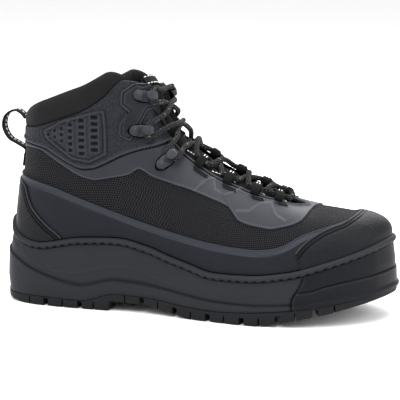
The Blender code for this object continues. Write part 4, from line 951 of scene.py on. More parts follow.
# %% Toe cap and heel counter
def moulded_shell(name, node, corners, first, last, count, left, right):
    """A moulded shell over the rand, from the welt up to a side line, with two sunken lines."""
    u = np.linspace(first, last, count)
    line = rounded(corners)
    top = crossing(u, line, left, right, False)
    keep = np.nonzero(top > 0.012)[0]
    u, top = u[keep[0]:keep[-1] + 1], top[keep[0]:keep[-1] + 1]
    rows = rows_between(u, 0 * u, top, 16, False)
    on_face = wall(u[:, None], rows)
    d = from_edge(on_face, wall(u, top), False)
    lines = bell(d, 2.3 * MM, 0.7 * MM) + bell(d, 4.9 * MM, 0.6 * MM)
    base = 2 * GAP + RAND_FILM
    lift = base + TOE_CAP_WALL * rounded_edge(d, 1.1 * MM) - 0.6 * MM * lines
    made = shell(on_wall(u[:, None], rows, lift), on_wall(u[:, None], rows, base + 0 * lift),
                 False)
    # The sunken lines carry painted shade, and a painted highlight runs along the rolled edge.
    return add_piece(name, "moulded_film", [made], [node],
                     {"painted_shade": both_faces(lines), "rim": both_faces(bell(d, 1.0 * MM, 0.6 * MM))})


moulded_shell("toe_cap_shell", "toe_cap", TOE_CAP_EDGE, 10.3, 17.7, 420, -1.0, 1.0)
moulded_shell("heel_counter_shell", "heel_counter", COUNTER_EDGE, -4.0, 4.0, 260, 1.0, -1.0)

# %% [markdown]
# ## Ankle guard, hook plates and eyestay
# The guard is a grained plastic shell round the ankle, rolled thicker along its lower edge, with a
# group of small vents on each side. The vents are sunk into it. A plate for the hooks lies on its
# front part. The eyestay is a lighter film round the throat, partly its own colour and partly
# painted light from above, with a double rim at the opening and wavy raised lines.

# %% Vents
Slot = namedtuple("Slot", "x z width height")
VENT_COLUMNS = ((1.8, 2.2, 2.2, (140.7,)), (7.5, 2.4, 2.6, (144.3, 139.0)),
                (13.7, 2.6, 2.8, (146.2, 141.3, 136.4)),
                (21.0, 3.6, 3.0, tuple(np.linspace(149.7, 129.0, 5))),
                (30.4, 5.0, 3.0, tuple(np.linspace(153.4, 126.7, 6))),
                (41.0, 6.0, 3.2, tuple(np.linspace(156.3, 130.0, 6))))
VENTS = [Slot(x, z, width, height) for x, width, height, heights in VENT_COLUMNS for z in heights]
VENT_FRAME = ((-1.3, 143.2), (14.7, 151.9), (31.4, 157.0), (41.9, 160.1), (48.5, 161.0),
              (49.8, 147.0), (50.0, 127.2), (36.4, 120.2), (22.4, 122.6), (1.9, 137.1),
              (-1.3, 143.2))


def from_vents(points):
    """Distance in millimetres to the nearest vent's edge in the side view, negative inside."""
    best = np.full(points.shape[:-1], np.inf)
    for hole in VENTS:
        across = np.abs(points[..., 0] / MM - hole.x) - hole.width / 2
        tall = np.abs(points[..., 2] / MM - hole.z) - hole.height / 2
        best = np.minimum(best, np.maximum(across, tall))
    return best


def vent_depth(points):
    """One inside a vent, falling to zero over its edge."""
    return 1 - step_up(from_vents(points), -0.9, 0.4)


def vent_highlight(points):
    """A painted highlight round each vent."""
    return 0.7 * bell(from_vents(points), 0.6, 0.45)


# %% [markdown]
# ## Ankle guard
# The guard spreads the load of the upper hooks. Its relief is a sum of soft bells: a roll at the
# lower edge, a frame round the vents, the vents themselves and a joint at the heel.

# %% Ankle guard
u = np.linspace(-7.93, 7.93, 480)
guard_line = rounded(GUARD_LOW_EDGE)
guard_low = crossing(u, guard_line, guard_line[0, 1], 1.0, True)
rows = rows_between(u, guard_low, np.ones(len(u)), 58, True)
on_face = wall(u[:, None], rows)
d = from_edge(on_face, wall(u, guard_low), False)
top_d = from_edge(on_face, wall(u, np.ones(len(u))), False)
holes = vent_depth(on_face) * (np.abs(on_face[..., 1]) > 0.02)
frame_d = from_line(on_face, VENT_FRAME)
side = np.abs(on_face[..., 1]) > 0.02
seam = bell(from_line(on_face, ((-22.5, 158.0), (-22.7, 122.0))), 0.0, 0.7 * MM)
relief = (0.9 * MM * bell(d, 1.6 * MM, 1.5 * MM) - 0.25 * MM * bell(d, 4.6 * MM, 0.8 * MM)
          + 0.7 * MM * bell(frame_d, 0.0, 0.8 * MM) * side - 1.0 * MM * holes
          - 0.35 * MM * seam * (on_face[..., 1] < 0.05))
wall_round = rounded_edge(np.minimum(d, top_d), 0.8 * MM)
lift = GAP + GUARD_WALL * wall_round + relief
guard = shell(on_wall(u[:, None], rows, lift),
              on_wall(u[:, None], rows, 0.5 * GAP + 0 * lift), False)
# Painted shade in the vents, in the joint at the heel and beside the frame; painted highlights round
# the vents, on the frame and on the roll at the lower edge.
shade_beside_frame = bell(frame_d, 1.7 * MM, 0.6 * MM) * side
dark = np.clip(0.75 * holes + 0.8 * seam + 0.6 * shade_beside_frame, 0, 1)
rim = np.clip(vent_highlight(on_face) * side + 0.6 * bell(frame_d, 0.0, 0.7 * MM) * side
              + 0.8 * bell(d, 1.4 * MM, 0.8 * MM), 0, 1)
add_piece("ankle_guard_shell", "guard_plastic", [guard], ["ankle_guard"],
          {"painted_shade": both_faces(dark), "rim": both_faces(rim)})

# %% [markdown]
# ## Eyestay
# The eyestay takes the pull of the laces. It runs round the whole boot under the guard. Its upper
# rims lie only beside the throat, and its waves are lines drawn in the side view.

# %% Eyestay
WAVES = (((117.3, 94.7), (124.8, 101.6), (130.6, 108.3), (135.5, 107.8), (138.8, 100.8),
          (146.2, 97.2), (154.4, 99.2), (161.0, 104.4)),
         ((158.8, 86.3), (168.7, 86.0), (175.2, 91.2), (183.3, 90.9), (189.9, 83.3),
          (198.0, 79.7)))
TAIL = [Corner(-0.08, 0.540), Corner(0.126, 0.526), Corner(0.175, 0.450), Corner(0.228, 0.372)]
eyestay_line = rounded(TAIL + list(EYESTAY_LOW_EDGE[1:]), 2, 2.0 * MM)
u = np.linspace(0, KNOTS, 781)[:-1]
low = crossing(u, eyestay_line, eyestay_line[0, 1], 1.0, True)
high = crossing(u, guard_line - (0.0, 3 * GAP), 1.0, 1.0, False)
high = np.maximum(high, low + 0.004)
rows = rows_between(u, low, high, 22, True)
on_face = wall(u[:, None], rows)
d_low = from_edge(on_face, wall(u, low), True)
d_high = from_edge(on_face, wall(u, high), True)
throat = (np.abs(u - LAST) < 6.4)[:, None]
waves = sum(bell(from_line(on_face, line), 0.0, 0.8 * MM) for line in WAVES)
rims = throat * (bell(d_high, 1.0 * MM, 0.6 * MM) + bell(d_high, 4.4 * MM, 0.6 * MM))
relief = 0.7 * MM * rims + 0.6 * MM * waves + 0.3 * MM * bell(d_low, 1.0 * MM, 0.7 * MM)
# Painted shade between the two rims at the throat; painted highlights on the rims, on the waves and
# along the lower edge.
between = step_up(d_high, 1.4 * MM, 2.0 * MM) * (1 - step_up(d_high, 3.4 * MM, 4.0 * MM))
dark = 0.9 * throat * between
edge_highlight = bell(d_low, 0.9 * MM, 0.5 * MM) * 0.5
light = np.clip(0.7 * rims + 0.55 * waves + edge_highlight, 0, 1)
lift = GAP + EYESTAY_FILM * rounded_edge(np.minimum(d_low, d_high), 0.8 * MM) + relief
eyestay = shell(on_wall(u[:, None], rows, lift), on_wall(u[:, None], rows, 0.5 * GAP + 0 * lift),
                True)
add_piece("eyestay_shell", "eyestay_film", [eyestay], ["eyestay"],
          {"painted_shade": both_faces(dark), "rim": both_faces(light)})

# %% [markdown]
# ## Hook plates
# Each plate is cut with straight corners. Its rear outline is drawn in the side view, and each
# point is looked up on the wall. Rows then run from there to the throat's edge.

# %% Hook plates
THROAT_FOOT, THROAT_HEAD = 7.57, 5.93


SIDE_PLACES = np.stack(np.meshgrid(np.linspace(2, 13, 551), np.linspace(0, 1, 401)), axis=-1)
SIDE_PLACES = SIDE_PLACES.reshape(-1, 2)
SIDE_POINTS = wall(*SIDE_PLACES.T)


def lookup(line):
    """Loop position and share up the lateral wall that show at each X and Z of a line: the
    nearest of many places, moved on to the exact one by three Newton steps."""
    line = np.asarray(line)
    found = [np.argmin((SIDE_POINTS[:, 0] - x)**2 + (SIDE_POINTS[:, 2] - z)**2) for x, z in line]
    u, t = SIDE_PLACES[found].T
    for _ in range(3):
        here = wall(u, t)[:, [0, 2]]
        by_u = (wall(u + 0.01, t)[:, [0, 2]] - here) / 0.01
        by_t = (wall(u, t - 0.01)[:, [0, 2]] - here) / -0.01
        off = line - here
        size = by_u[:, 0] * by_t[:, 1] - by_u[:, 1] * by_t[:, 0]
        u = u + (off[:, 0] * by_t[:, 1] - off[:, 1] * by_t[:, 0]) / size
        t = np.clip(t + (by_u[:, 0] * off[:, 1] - by_u[:, 1] * off[:, 0]) / size, 0, 1)
    return np.stack([u, t], axis=1)


def resampled(line, count):
    """Evenly spaced points along a line."""
    run = np.concatenate([[0.0], np.cumsum(np.linalg.norm(np.diff(line, axis=0), axis=1))])
    at = np.linspace(0, run[-1], count)
    return np.stack([np.interp(at, run, line[:, k]) for k in range(line.shape[1])], axis=1)


rear = lookup(resampled(rounded(HOOK_PLATE[7::-1], 1, 0.8 * MM), 140))
front = np.stack([np.linspace(THROAT_FOOT, THROAT_HEAD, 140), np.ones(140)], axis=1)
across = np.concatenate([NEAR_EDGE / (22 * MM), np.linspace(0.34, 0.98, 14), [1.0]])
for name, flip in (("lateral", False), ("medial", True)):
    place = rear[:, None] + (front - rear)[:, None] * across[None, :, None]
    pu, pt = place[..., 0], place[..., 1]
    if flip:
        pu = KNOTS - pu
    on_face = wall(pu, pt)
    d_rear = from_edge(on_face, on_face[:, 0], False)
    ends = np.minimum(np.linalg.norm(on_face - on_face[:1], axis=-1),
                      np.linalg.norm(on_face - on_face[-1:], axis=-1))
    d = np.minimum(d_rear, ends)
    bevel = 0.6 * MM * bell(d, 0.8 * MM, 0.6 * MM) + 0.6 * MM * step_up(d, 2.6 * MM, 3.4 * MM)
    lift = PLATE_SEAT + 0.7 * MM * rounded_edge(d, 0.7 * MM) + bevel
    plate = shell(on_wall(pu, pt, lift), on_wall(pu, pt, GUARD_FACE - 0.3 * MM + 0 * lift), False)
    # Painted highlights on the two bevels, with painted shade in the groove between them.
    rim = 0.8 * bell(d, 0.8 * MM, 0.5 * MM) + 0.6 * bell(d, 3.3 * MM, 0.5 * MM)
    marks = {"painted_shade": both_faces(0.6 * bell(d, 1.9 * MM, 0.6 * MM)), "rim": both_faces(rim)}
    add_piece("hook_plate_cover_" + name, "guard_plastic", [plate], ["hook_plate_" + name],
              marks, material="plate_plastic")

# %% [markdown]
# ## Cords, webbing and bent sheet
# Laces, webbing and hooks are all a section carried along a path. The path runs smoothly through a
# few points, and each point has its own outward direction, so a flat section never twists.

# %% Paths and sections
def smooth(points, count, closed=False):
    """A smooth line through points, count points a step: each step is a cubic whose slopes are
    half the way between its neighbours."""
    points = np.asarray(points, dtype=float)
    if closed:
        before, start = np.roll(points, 1, axis=0), points
        end, after = np.roll(points, -1, axis=0), np.roll(points, -2, axis=0)
    else:
        longer = np.concatenate([points[:1], points, points[-1:]])
        before, start, end, after = longer[:-3], longer[1:-2], longer[2:-1], longer[3:]
    t = (np.arange(count) / count).reshape((1, count) + (1,) * (points.ndim - 1))
    before, start, end, after = (side[:, None] for side in (before, start, end, after))
    line = ((2 * t**3 - 3 * t**2 + 1) * start + (t**3 - 2 * t**2 + t) * (end - before) / 2
            + (3 * t**2 - 2 * t**3) * end + (t**3 - t**2) * (after - start) / 2)
    line = line.reshape((-1,) + points.shape[1:])
    return line if closed else np.concatenate([line, points[-1:]])


def swept(path, out, half_out, half_across, power, sides, wrap):
    """A section carried along a path. It is a rounded box: cosine and sine to a power, times
    its half sizes across and out. The sizes may change along the path."""
    ahead = np.gradient(path, axis=0)
    if wrap:
        ahead = np.roll(path, -1, axis=0) - np.roll(path, 1, axis=0)
    ahead = unit(ahead)
    across = unit(np.cross(ahead, out))
    out = np.cross(across, ahead)
    turn = np.linspace(0, 2 * math.pi, sides + 1)[:-1]
    x, y = np.cos(turn), np.sin(turn)
    x, y = np.sign(x) * np.abs(x)**power, np.sign(y) * np.abs(y)**power
    half_out = np.broadcast_to(half_out, len(path))[:, None]
    half_across = np.broadcast_to(half_across, len(path))[:, None]
    grid = (path[:, None] + across[:, None] * (x * half_across)[..., None]
            + out[:, None] * (y * half_out)[..., None])
    closed = np.concatenate([path, path[:1]])
    along = np.concatenate([[0.0], np.cumsum(np.linalg.norm(np.diff(closed, axis=0), axis=1))])
    ring = grid[len(path) // 2]
    steps = np.linalg.norm(np.roll(ring, -1, axis=0) - ring, axis=1)
    around = np.concatenate([[0.0], np.cumsum(steps)])
    uv = stack(around[None, :], along[:, None], 0.0)[..., :2]
    return surface(grid, uv, wrap)


def stitches(lines, length, gap, radius, lift_way):
    """Thread over a piece: a short capsule for every stitch along each line of points."""
    parts = []
    for line, ways in zip(lines, lift_way):
        run = np.concatenate([[0.0], np.cumsum(np.linalg.norm(np.diff(line, axis=0), axis=1))])
        count = max(1, int(run[-1] / (length + gap)))
        pitch = run[-1] / count
        for i in range(count):
            at = i * pitch + gap / 2 + np.linspace(0, pitch - gap, 5)
            path = np.stack([np.interp(at, run, line[:, k]) for k in range(3)], axis=1)
            out = np.stack([np.interp(at, run, ways[:, k]) for k in range(3)], axis=1)
            path = path + out * (radius * np.array([-0.6, 0.3, 0.5, 0.3, -0.6]))[:, None]
            size = radius * np.array([0.5, 1.0, 1.0, 1.0, 0.5])
            parts.append(swept(path, out, size, size, 1.0, 6, False))
    return parts


# %% [markdown]
# ## Hooks
# A lace hook is a strip of sheet metal with an oval foot, held by a domed rivet. Its front end is
# curled back over the foot and has a rounded tip, and the lace lies in the curl.

# %% Hooks
def hook_spot(hook, side):
    """Loop position of a hook and its place up the wall."""
    u, t = spot(hook.along, hook.up)
    return (u if side == "lateral" else KNOTS - u), t


def hook_frame(hook, side):
    """Base of a hook over the wall, with the directions of its mouth and out of the wall."""
    u, t = (np.array([value]) for value in hook_spot(hook, side))
    out = wall_normal(u, t)[0]
    level_way = unit(np.array([1.0, 0.0, 0.0]) - out * out[0])
    up_way = unit(np.array([0.0, 0.0, 1.0]) - out * out[2] - level_way * level_way[2])
    turn = math.radians(hook.turn)
    mouth = level_way * math.cos(turn) + up_way * math.sin(turn)
    face = PLATE_FACE if hook.face == "plate" else EYESTAY_FACE
    return wall(u, t)[0] + out * (face + 0.4 * MM), mouth, out


HOOK_PATH = np.array(HOOK_OUTER) * (HOOK_LENGTH / 2, HOOK_HEIGHT)
RIVET_SECTION = np.array([(0.02, 1.0), (0.30, 0.98), (0.52, 0.86), (0.62, 0.70), (0.66, 0.56),
                          (0.86, 0.56), (0.97, 0.46), (1.00, 0.30), (1.00, -0.2)])
FOOT_SECTION = np.array([(0.02, 0.50), (0.78, 0.50), (0.84, 0.40), (0.86, 0.30), (1.00, 0.20),
                         (1.04, -0.10), (1.04, -0.70)])
# Painted shadow: the outer rings of each hook's foot are darkened round the hook.
FOOT_SHADOW = np.array([0.0, 0.0, 0.0, 1.0, 1.0, 1.0, 1.0])
for hook in HOOKS:
    for side in ("lateral", "medial"):
        base, mouth, out = hook_frame(hook, side)
        flat = smooth(HOOK_PATH, 8)
        path = base + flat[:, :1] * mouth + (flat[:, 1:] + HOOK_SHEET / 2) * out
        run = np.concatenate([[0.0], np.cumsum(np.linalg.norm(np.diff(flat, axis=0), axis=1))])
        place = flat[:, 0] / (HOOK_LENGTH / 2)
        width = HOOK_WIDTH / 2 * np.sqrt(np.clip(1 - np.abs(place / 1.13)**3, 0, 1))
        tip = np.clip((run[-1] - run) / (0.30 * HOOK_LENGTH), 0.02, 1)
        width *= np.clip(run / (0.06 * HOOK_LENGTH), 0.3, 1) * np.sqrt(1 - (1 - tip)**2)
        turn = np.gradient(flat, axis=0)
        normal = unit(-turn[:, 1:] * mouth + turn[:, :1] * out)
        sheet = swept(path, normal, HOOK_SHEET / 2, width, 0.55, 16, False)
        angle = np.linspace(0, 2 * math.pi, 33)[:-1]
        seat = base + mouth * RIVET_ALONG * HOOK_LENGTH / 2 + out * HOOK_SHEET
        ring = (np.cos(angle)[:, None] * mouth + np.sin(angle)[:, None] * np.cross(out, mouth))
        rivet = (seat + RIVET_SECTION[:, :1, None] * RIVET_DIAMETER / 2 * ring
                 + RIVET_SECTION[:, 1:, None] * (RIVET_HEIGHT * 1.15) * out)
        uv = np.zeros((len(rivet) + 1, len(ring) + 1, 2))
        oval = (np.cos(angle)[:, None] * mouth * 0.56 * HOOK_LENGTH
                + np.sin(angle)[:, None] * np.cross(out, mouth) * 0.66 * HOOK_WIDTH)
        foot = base + FOOT_SECTION[:, :1, None] * oval + FOOT_SECTION[:, 1:, None] * MM * out
        uv_foot = np.zeros((len(foot) + 1, len(oval) + 1, 2))
        parts = [sheet, surface(rivet, uv, False), surface(foot, uv_foot, False)]
        painted_shade = np.concatenate([np.zeros(len(parts[0][0]) + len(parts[1][0])),
                                 np.repeat(FOOT_SHADOW, len(oval))])
        add_piece("hook_%s_%s" % (side, hook.name), "hook_metal", parts,
                  ["lace_hook_%s_%s" % (side, hook.name)], {"painted_shade": painted_shade})

# %% [markdown]
# ## Collar and tongue
# The collar is a foam roll in a soft knit. The tongue is a thin padded sheet with a raised middle,
# tucked under both sides of the throat, and its top edge stands free.

# %% Collar
loop = np.linspace(-5.0, 5.0, 241)
height = SHAFT_RISE * ease(mirrored(UPPER, "collar"), loop)
top = np.ones(len(loop))
base = wall(loop, top)
rise = unit(base - wall(loop, 0.9 * top))
inward = -wall_normal(loop, top)
depth = COLLAR_THICKNESS * np.clip(height / COLLAR_FULL_HEIGHT, 0.35, 1.0)
section = smooth(COLLAR_SHAPE, 4, closed=True)
grid = (base[:, None] + inward[:, None] * (section[:, 0] * depth[:, None])[..., None]
        + rise[:, None] * (COLLAR_SEAT + section[:, 1] * height[:, None])[..., None])
along = np.cumsum(np.concatenate([[0.0], np.linalg.norm(np.diff(base, axis=0), axis=1), [0.0]]))
around = np.linspace(0, 0.045, len(section) + 1)
uv = stack(along[:, None], around[None, :], 0.0)[..., :2]
collar = add_piece("collar_roll", "collar_fabric", [surface(grid, uv, False)], ["collar"], angle=80)


# %% [markdown]
# ## Tongue
# The tongue keeps water and stones out. Its sections are the ones of the solid, made smooth both
# ways, and its top edge is rounded by thinning the sheet there.

# %% Tongue
def tongue_sections():
    """Cross-sections of the tongue's outer face, top to bottom, seven points each."""
    depth = -UPPER_WALL - 3 * GAP
    sections = []
    for row in TONGUE:
        u = np.array([row.station, KNOTS - row.station])
        tucked = on_wall(u, np.array([row.tuck, row.tuck]), depth)
        edge = on_wall(u, np.array([1.0, 1.0]), depth)
        normal = unit(wall_normal(u, np.array([1.0, 1.0])).mean(axis=0))
        middle = edge.mean(axis=0)
        crown = normal * row.crown * BALL_WIDTH
        quarter = [0.55 * edge[side] + 0.45 * middle + 0.78 * crown for side in (0, 1)]
        sections.append([tucked[0], edge[0], quarter[0], middle + crown, quarter[1], edge[1],
                         tucked[1]])
    lift = np.array([-TONGUE_TOP_LEAN, 0.0, TONGUE_TOP_RISE])
    top = [np.array(point) * (1, TONGUE_TOP_NARROW, 1) + lift for point in sections[0]]
    return np.array([top] + sections)


sections = np.swapaxes(smooth(tongue_sections(), 6), 0, 1)
grid = np.swapaxes(smooth(sections, 8), 0, 1)
down = np.gradient(grid, axis=0)
sideways = np.gradient(grid, axis=1)
out = unit(np.cross(down, sideways))
out = out * np.sign(out[..., :1].mean())
from_top = np.linalg.norm(np.cumsum(down, axis=0), axis=-1)
thick = TONGUE_THICKNESS * np.sqrt(1 - (1 - np.clip(from_top / (2.4 * MM), 0.08, 1))**2)
face = grid - out * ((TONGUE_THICKNESS - thick) / 2)[..., None]
back = face - out * thick[..., None]
tongue = add_piece("tongue_pad", "tongue_fabric", [shell(face, back, False)],
                   ["tongue"], angle=80)


# %% [markdown]
# ## Webbing
# The lace loops are bands of black webbing that come out from under the throat's edge and are
# sewn down on the eyestay. The pull loop at the heel has a dashed white line along its middle, and
# a keeper of the same webbing crosses the tongue.

# %% Lace loops
def across_frame(u):
    """Point on the throat's edge, with directions forward along it, in over it and out of it."""
    edge = wall(np.array([u]), np.array([1.0]))[0]
    out = wall_normal(np.array([u]), np.array([1.0]))[0]
    ahead = wall(np.array([u + 0.1, u - 0.1]), np.array([1.0, 1.0]))
    forward = unit(ahead[0] - ahead[1])
    if u > LAST:
        forward = -forward
    inward = unit(np.cross(out, forward))
    if inward[1] * edge[1] > 0:
        inward = -inward
    return edge, forward, inward, out


LOOP_FOOT = 0.6
for number, station in enumerate(LOOP_STATIONS, start=1):
    for side, u in (("lateral", station), ("medial", KNOTS - station)):
        edge, forward, inward, out = across_frame(u)
        shape = np.array(LOOP_SHAPE)
        shape[:, 0] *= np.where(shape[:, 0] < 0, LOOP_FOOT, 1.0)
        flat = smooth(shape * LOOP_WIDTH, 5, closed=True)
        path = edge + flat[:, :1] * inward + flat[:, 1:] * out
        turn = np.roll(flat, -1, axis=0) - np.roll(flat, 1, axis=0)
        normal = unit(-turn[:, 1:] * inward + turn[:, :1] * out)
        band = swept(path, normal, WEBBING_THICKNESS / 2, 0.38 * LOOP_WIDTH, 0.6, 16, True)
        add_piece("webbing_%s_%d" % (side, number), "webbing", [band],
                  ["lace_loop_%s_%d" % (side, number)])

# %% [markdown]
# ## Tape and stitches
# A black tape backs the edge of the throat, sewn with white thread. Every stitch is a small
# capsule, so that it catches light as thread does.

# %% Tape along the throat's edge, with its stitches
TAPE_ENDS = (8.25, 11.95)
WAVE = 1.5 * MM
tapes, white = [], []
for mirror in (False, True):
    station = np.linspace(*TAPE_ENDS, 90)
    frames = [across_frame(KNOTS - at if mirror else at) for at in station]
    edge, forward, inward, out = (np.array(part) for part in zip(*frames))
    path = edge + inward * 3.0 * MM + out * 0.3 * MM
    tapes.append(swept(path, out, 0.5 * MM, 3.2 * MM, 0.45, 12, False))
    sway = (3.2 * MM + WAVE * np.sin(2 * math.pi * (station - TAPE_ENDS[0]) / 0.9))[:, None]
    seam = edge + inward * sway + out * 1.0 * MM
    for first, last in ((0, 10), (18, 36), (48, 60), (68, 84)):
        white += stitches([seam[first:last]], 1.7 * MM, 0.9 * MM, 0.42 * MM, [out[first:last]])
    for at in LOOP_STATIONS:
        edge, forward, inward, out = across_frame(KNOTS - at if mirror else at)
        top = edge + (inward * 0.60 + out * 0.80) * LOOP_WIDTH
        for shift in (-1.1 * MM, 1.1 * MM):
            bar = [top + forward * shift + inward * reach * MM - out * abs(reach) * 0.15 * MM
                   for reach in (-1.8, 0.0, 1.8)]
            white += stitches([np.array(bar)], 3.2 * MM, 0.4 * MM, 0.45 * MM, [np.array([out] * 3)])
add_piece("throat_tape", "webbing", tapes)
add_piece("throat_stitches", "webbing", white, material="white_thread")

# %% [markdown]
# ## Bar tacks
# Below each loop two short dark rows of thread hold its ends. They lie at set depths under the
# edge.

# %% Bar tacks on the eyestay
TACK_DEPTHS = (6.6, 9.0)
lines, ways = [], []
for at in LOOP_STATIONS:
    for depth in TACK_DEPTHS:
        for mirror in (False, True):
            u = at + 0.05 + np.linspace(-0.19, 0.19, 7)
            u = KNOTS - u if mirror else u
            t = np.linspace(1, 0.4, 80)
            down = np.linalg.norm(wall(u[:, None], t[None]) - wall(u, np.ones(7))[:, None], axis=-1)
            t = np.array([np.interp(depth * MM, row, t) for row in down])
            lines.append(on_wall(u, t, EYESTAY_FACE + 0.3 * MM + 0 * u))
            ways.append(wall_normal(u, t))
add_piece("eyestay_tacks", "eyestay_film", stitches(lines, 1.5 * MM, 0.7 * MM, 0.75 * MM, ways),
          material="dark_thread")

# %% [markdown]
# ## Pull loop
# A strip of webbing is sewn to the heel, bows out and back, and ends in the collar. It is one
# path in the middle plane, with a dashed white seam on both faces.

# %% Pull loop
heel = np.zeros(1)
tail = [on_wall(heel, np.array([t]), GAP + PULL_LOOP_WALL / 2)[0] for t in PULL_TAIL]
root = tail[-1]
bow = [root + (-PULL_LOOP_REACH * p.out, 0.0, PULL_LOOP_HEIGHT * p.up) for p in PULL_SHAPE]
seat = COLLAR_SHAPE[1]
end = wall(heel, np.ones(1))[0] + (
    seat.across * COLLAR_THICKNESS - PULL_LOOP_WALL / 2 - GAP, 0.0,
    seat.up * SHAFT_RISE * UPPER[0].collar + COLLAR_SEAT)
path = smooth(tail + bow + [end], 8)
turn = np.gradient(path, axis=0)
normal = unit(stack(-turn[:, 2], 0.0, turn[:, 0]))
strap = swept(path, normal, PULL_LOOP_WALL / 2, PULL_LOOP_WIDTH / 2, 0.4, 20, False)
add_piece("pull_webbing", "webbing", [strap], ["pull_loop"])
seams = [path + normal * face * (PULL_LOOP_WALL / 2 + 0.1 * MM) for face in (-1, 1)]
thread = stitches(seams, 2.2 * MM, 1.4 * MM, 0.45 * MM, [-normal, normal])
add_piece("pull_stitches", "webbing", thread, material="white_thread")

# %% [markdown]
# ## Keeper
# The keeper crosses the tongue near its top. Its path is halfway between two sections of the
# tongue.

# %% Keeper
sections = tongue_sections()
upper_edge, lower_edge = smooth(sections[0, 1:6], 6), smooth(sections[1, 1:6], 6)
middle = (upper_edge + lower_edge) / 2
down = unit(lower_edge - upper_edge)
normal = unit(np.cross(down, np.gradient(middle, axis=0)))
normal = normal * np.sign(normal[len(normal) // 2, 0])
path = middle + normal * (WEBBING_THICKNESS / 2 + 0.5 * MM)
strap = swept(path, normal, WEBBING_THICKNESS / 2, KEEPER_WIDTH / 2, 0.4, 16, False)
add_piece("keeper_webbing", "webbing", [strap], ["tongue_keeper"])
print("the keeper is", round(1000 * np.ptp(path[:, 1])), "mm across the tongue")
seams = [path + down * shift + normal * (WEBBING_THICKNESS / 2 + 0.1 * MM)
         for shift in (-3.0 * MM, 3.0 * MM)]
thread = stitches(seams, 2.4 * MM, 1.8 * MM, 0.4 * MM, [normal, normal])
add_piece("keeper_stitches", "webbing", thread, material="white_thread")

# %% [markdown]
# ## Laces
# One round braided lace runs through everything: it crosses the throat's front through the first
# loops, zigzags up through the loops and round the hooks, and its two halves meet in a bar over the
# top of the tongue. Where its halves cross, one lies over the other.

# %% Laces
def over_tongue(station, lift):
    """Middle of a lace over the tongue, and the way out there."""
    rows = tongue_sections()[1:]
    stations = [row.station for row in TONGUE]
    middle = np.array([np.interp(station, stations, rows[:, 3, k]) for k in range(3)])
    u = np.array([station, KNOTS - station])
    out = unit(wall_normal(u, np.array([1.0, 1.0])).mean(axis=0))
    return [(middle + out * (LACE_DIAMETER / 2 + lift), out)]


def through_loop(station, side):
    """A lace through a webbing loop, from its front to its back."""
    edge, forward, inward, out = across_frame(station if side < 0 else KNOTS - station)
    inside = edge + (inward * LACE_IN_LOOP.across + out * LACE_IN_LOOP.up) * LOOP_WIDTH
    return [(inside + forward * shift * LOOP_WIDTH, out) for shift in (0.75, 0.0, -0.75)]


def round_hook(hook, side):
    """A lace round a hook's neck, from its lower side to its upper one."""
    base, mouth, out = hook_frame(hook, "lateral" if side < 0 else "medial")
    upward = np.cross(out, mouth)
    upward = upward * np.sign(upward[2])
    neck = base + mouth * 0.52 * HOOK_LENGTH / 2 + out * (0.5 * HOOK_HEIGHT + 0.3 * MM)
    points = []
    for shift in (-1, 0, 1):
        spread = upward * shift * (HOOK_WIDTH / 2 + 0.9 * MM)
        points.append((neck + spread + mouth * abs(shift) * 1.5 * MM, out))
    for shift in (-1, 1):
        station = hook.edge - LACE_LEAVES * shift
        u = np.array([station if side < 0 else KNOTS - station])
        edge_out = wall_normal(u, np.ones(1))[0]
        lift = PLATE_FACE + LACE_DIAMETER / 2 + 1.6 * MM
        edge = (wall(u, np.ones(1))[0] + edge_out * lift, edge_out)
        points = [edge] + points if shift < 0 else points + [edge]
    return points


def half_lace(side, crossing_lifts):
    """The half of the lace that starts in the front loop of one side."""
    points = []
    places = [(station, station) for station in LOOP_STATIONS]
    places += [(hook.edge, hook) for hook in HOOKS]
    for number, (station, place) in enumerate(places):
        through = through_loop if number < len(LOOP_STATIONS) else round_hook
        points += through(place, side)
        if number + 1 < len(places):
            middle = (station + places[number + 1][0]) / 2 - CROSSING_BACK
            points += over_tongue(middle, crossing_lifts[(number + (side > 0)) % 2])
            side = -side
    return points


LIFTS = (0.6 * MM, 0.6 * MM + 0.85 * LACE_DIAMETER)
one = half_lace(-1, LIFTS)
other = half_lace(1, LIFTS)
front = over_tongue((LOOP_STATIONS[0] + LAST - 2) / 2, 0.6 * MM)
top = over_tongue(TOP_BAR_STATION, 0.6 * MM)
knots = one + top + other[::-1] + front
path = smooth([point for point, out in knots], 10, closed=True)
out = smooth([way for point, way in knots], 10, closed=True)
lace = swept(path, out, LACE_DIAMETER / 2, LACE_DIAMETER / 2, 1.0, 14, True)
run = np.linalg.norm(np.roll(path, -1, axis=0) - path, axis=1).sum()
names = ["lace_crossing_%d" % number for number in range(1, 7)] + ["lace_front_bar", "lace_top_bar"]
add_piece("lace", "lace_cord", [lace], names, angle=80)
print("the lace shows", round(run, 3), "m")

# %% [markdown]
# ## Sole
# The midsole is a moulded wedge with an overhanging ridge low down and two faint contours. A round
# welt bead runs over it, with dashes of painted shade in the groove below. A blacker bumper wraps
# the toe. The lugs of the outsole show as black teeth below.

# %% Insole
half = np.linspace(0.12, LAST - 0.12, 120)
inset = -FEATHER_INSET - UPPER_WALL - 2 * GAP
low = level("feather", half) - WELT_HEIGHT + GAP
lateral = outline(half, inset, low, 1.0)
medial = outline(KNOTS - half, inset, low, 1.0)
share = np.linspace(0, 1, 24)[None, :, None]
under = lateral[:, None] + (medial - lateral)[:, None] * share
dome = INSOLE_THICKNESS * (0.6 + 0.4 * np.sqrt(np.clip(1 - (2 * share - 1)**6, 0, 1)))
insole = shell(under + np.array([0, 0, 1.0]) * dome, under, False)
add_piece("insole_foam", "insole_foam", [insole], ["insole"])


# %% [markdown]
# ## Midsole
# The wedge is one profile carried round the outline. The contours are bells round lines of the side
# view, and the seam of the bumper is a groove of the same kind.

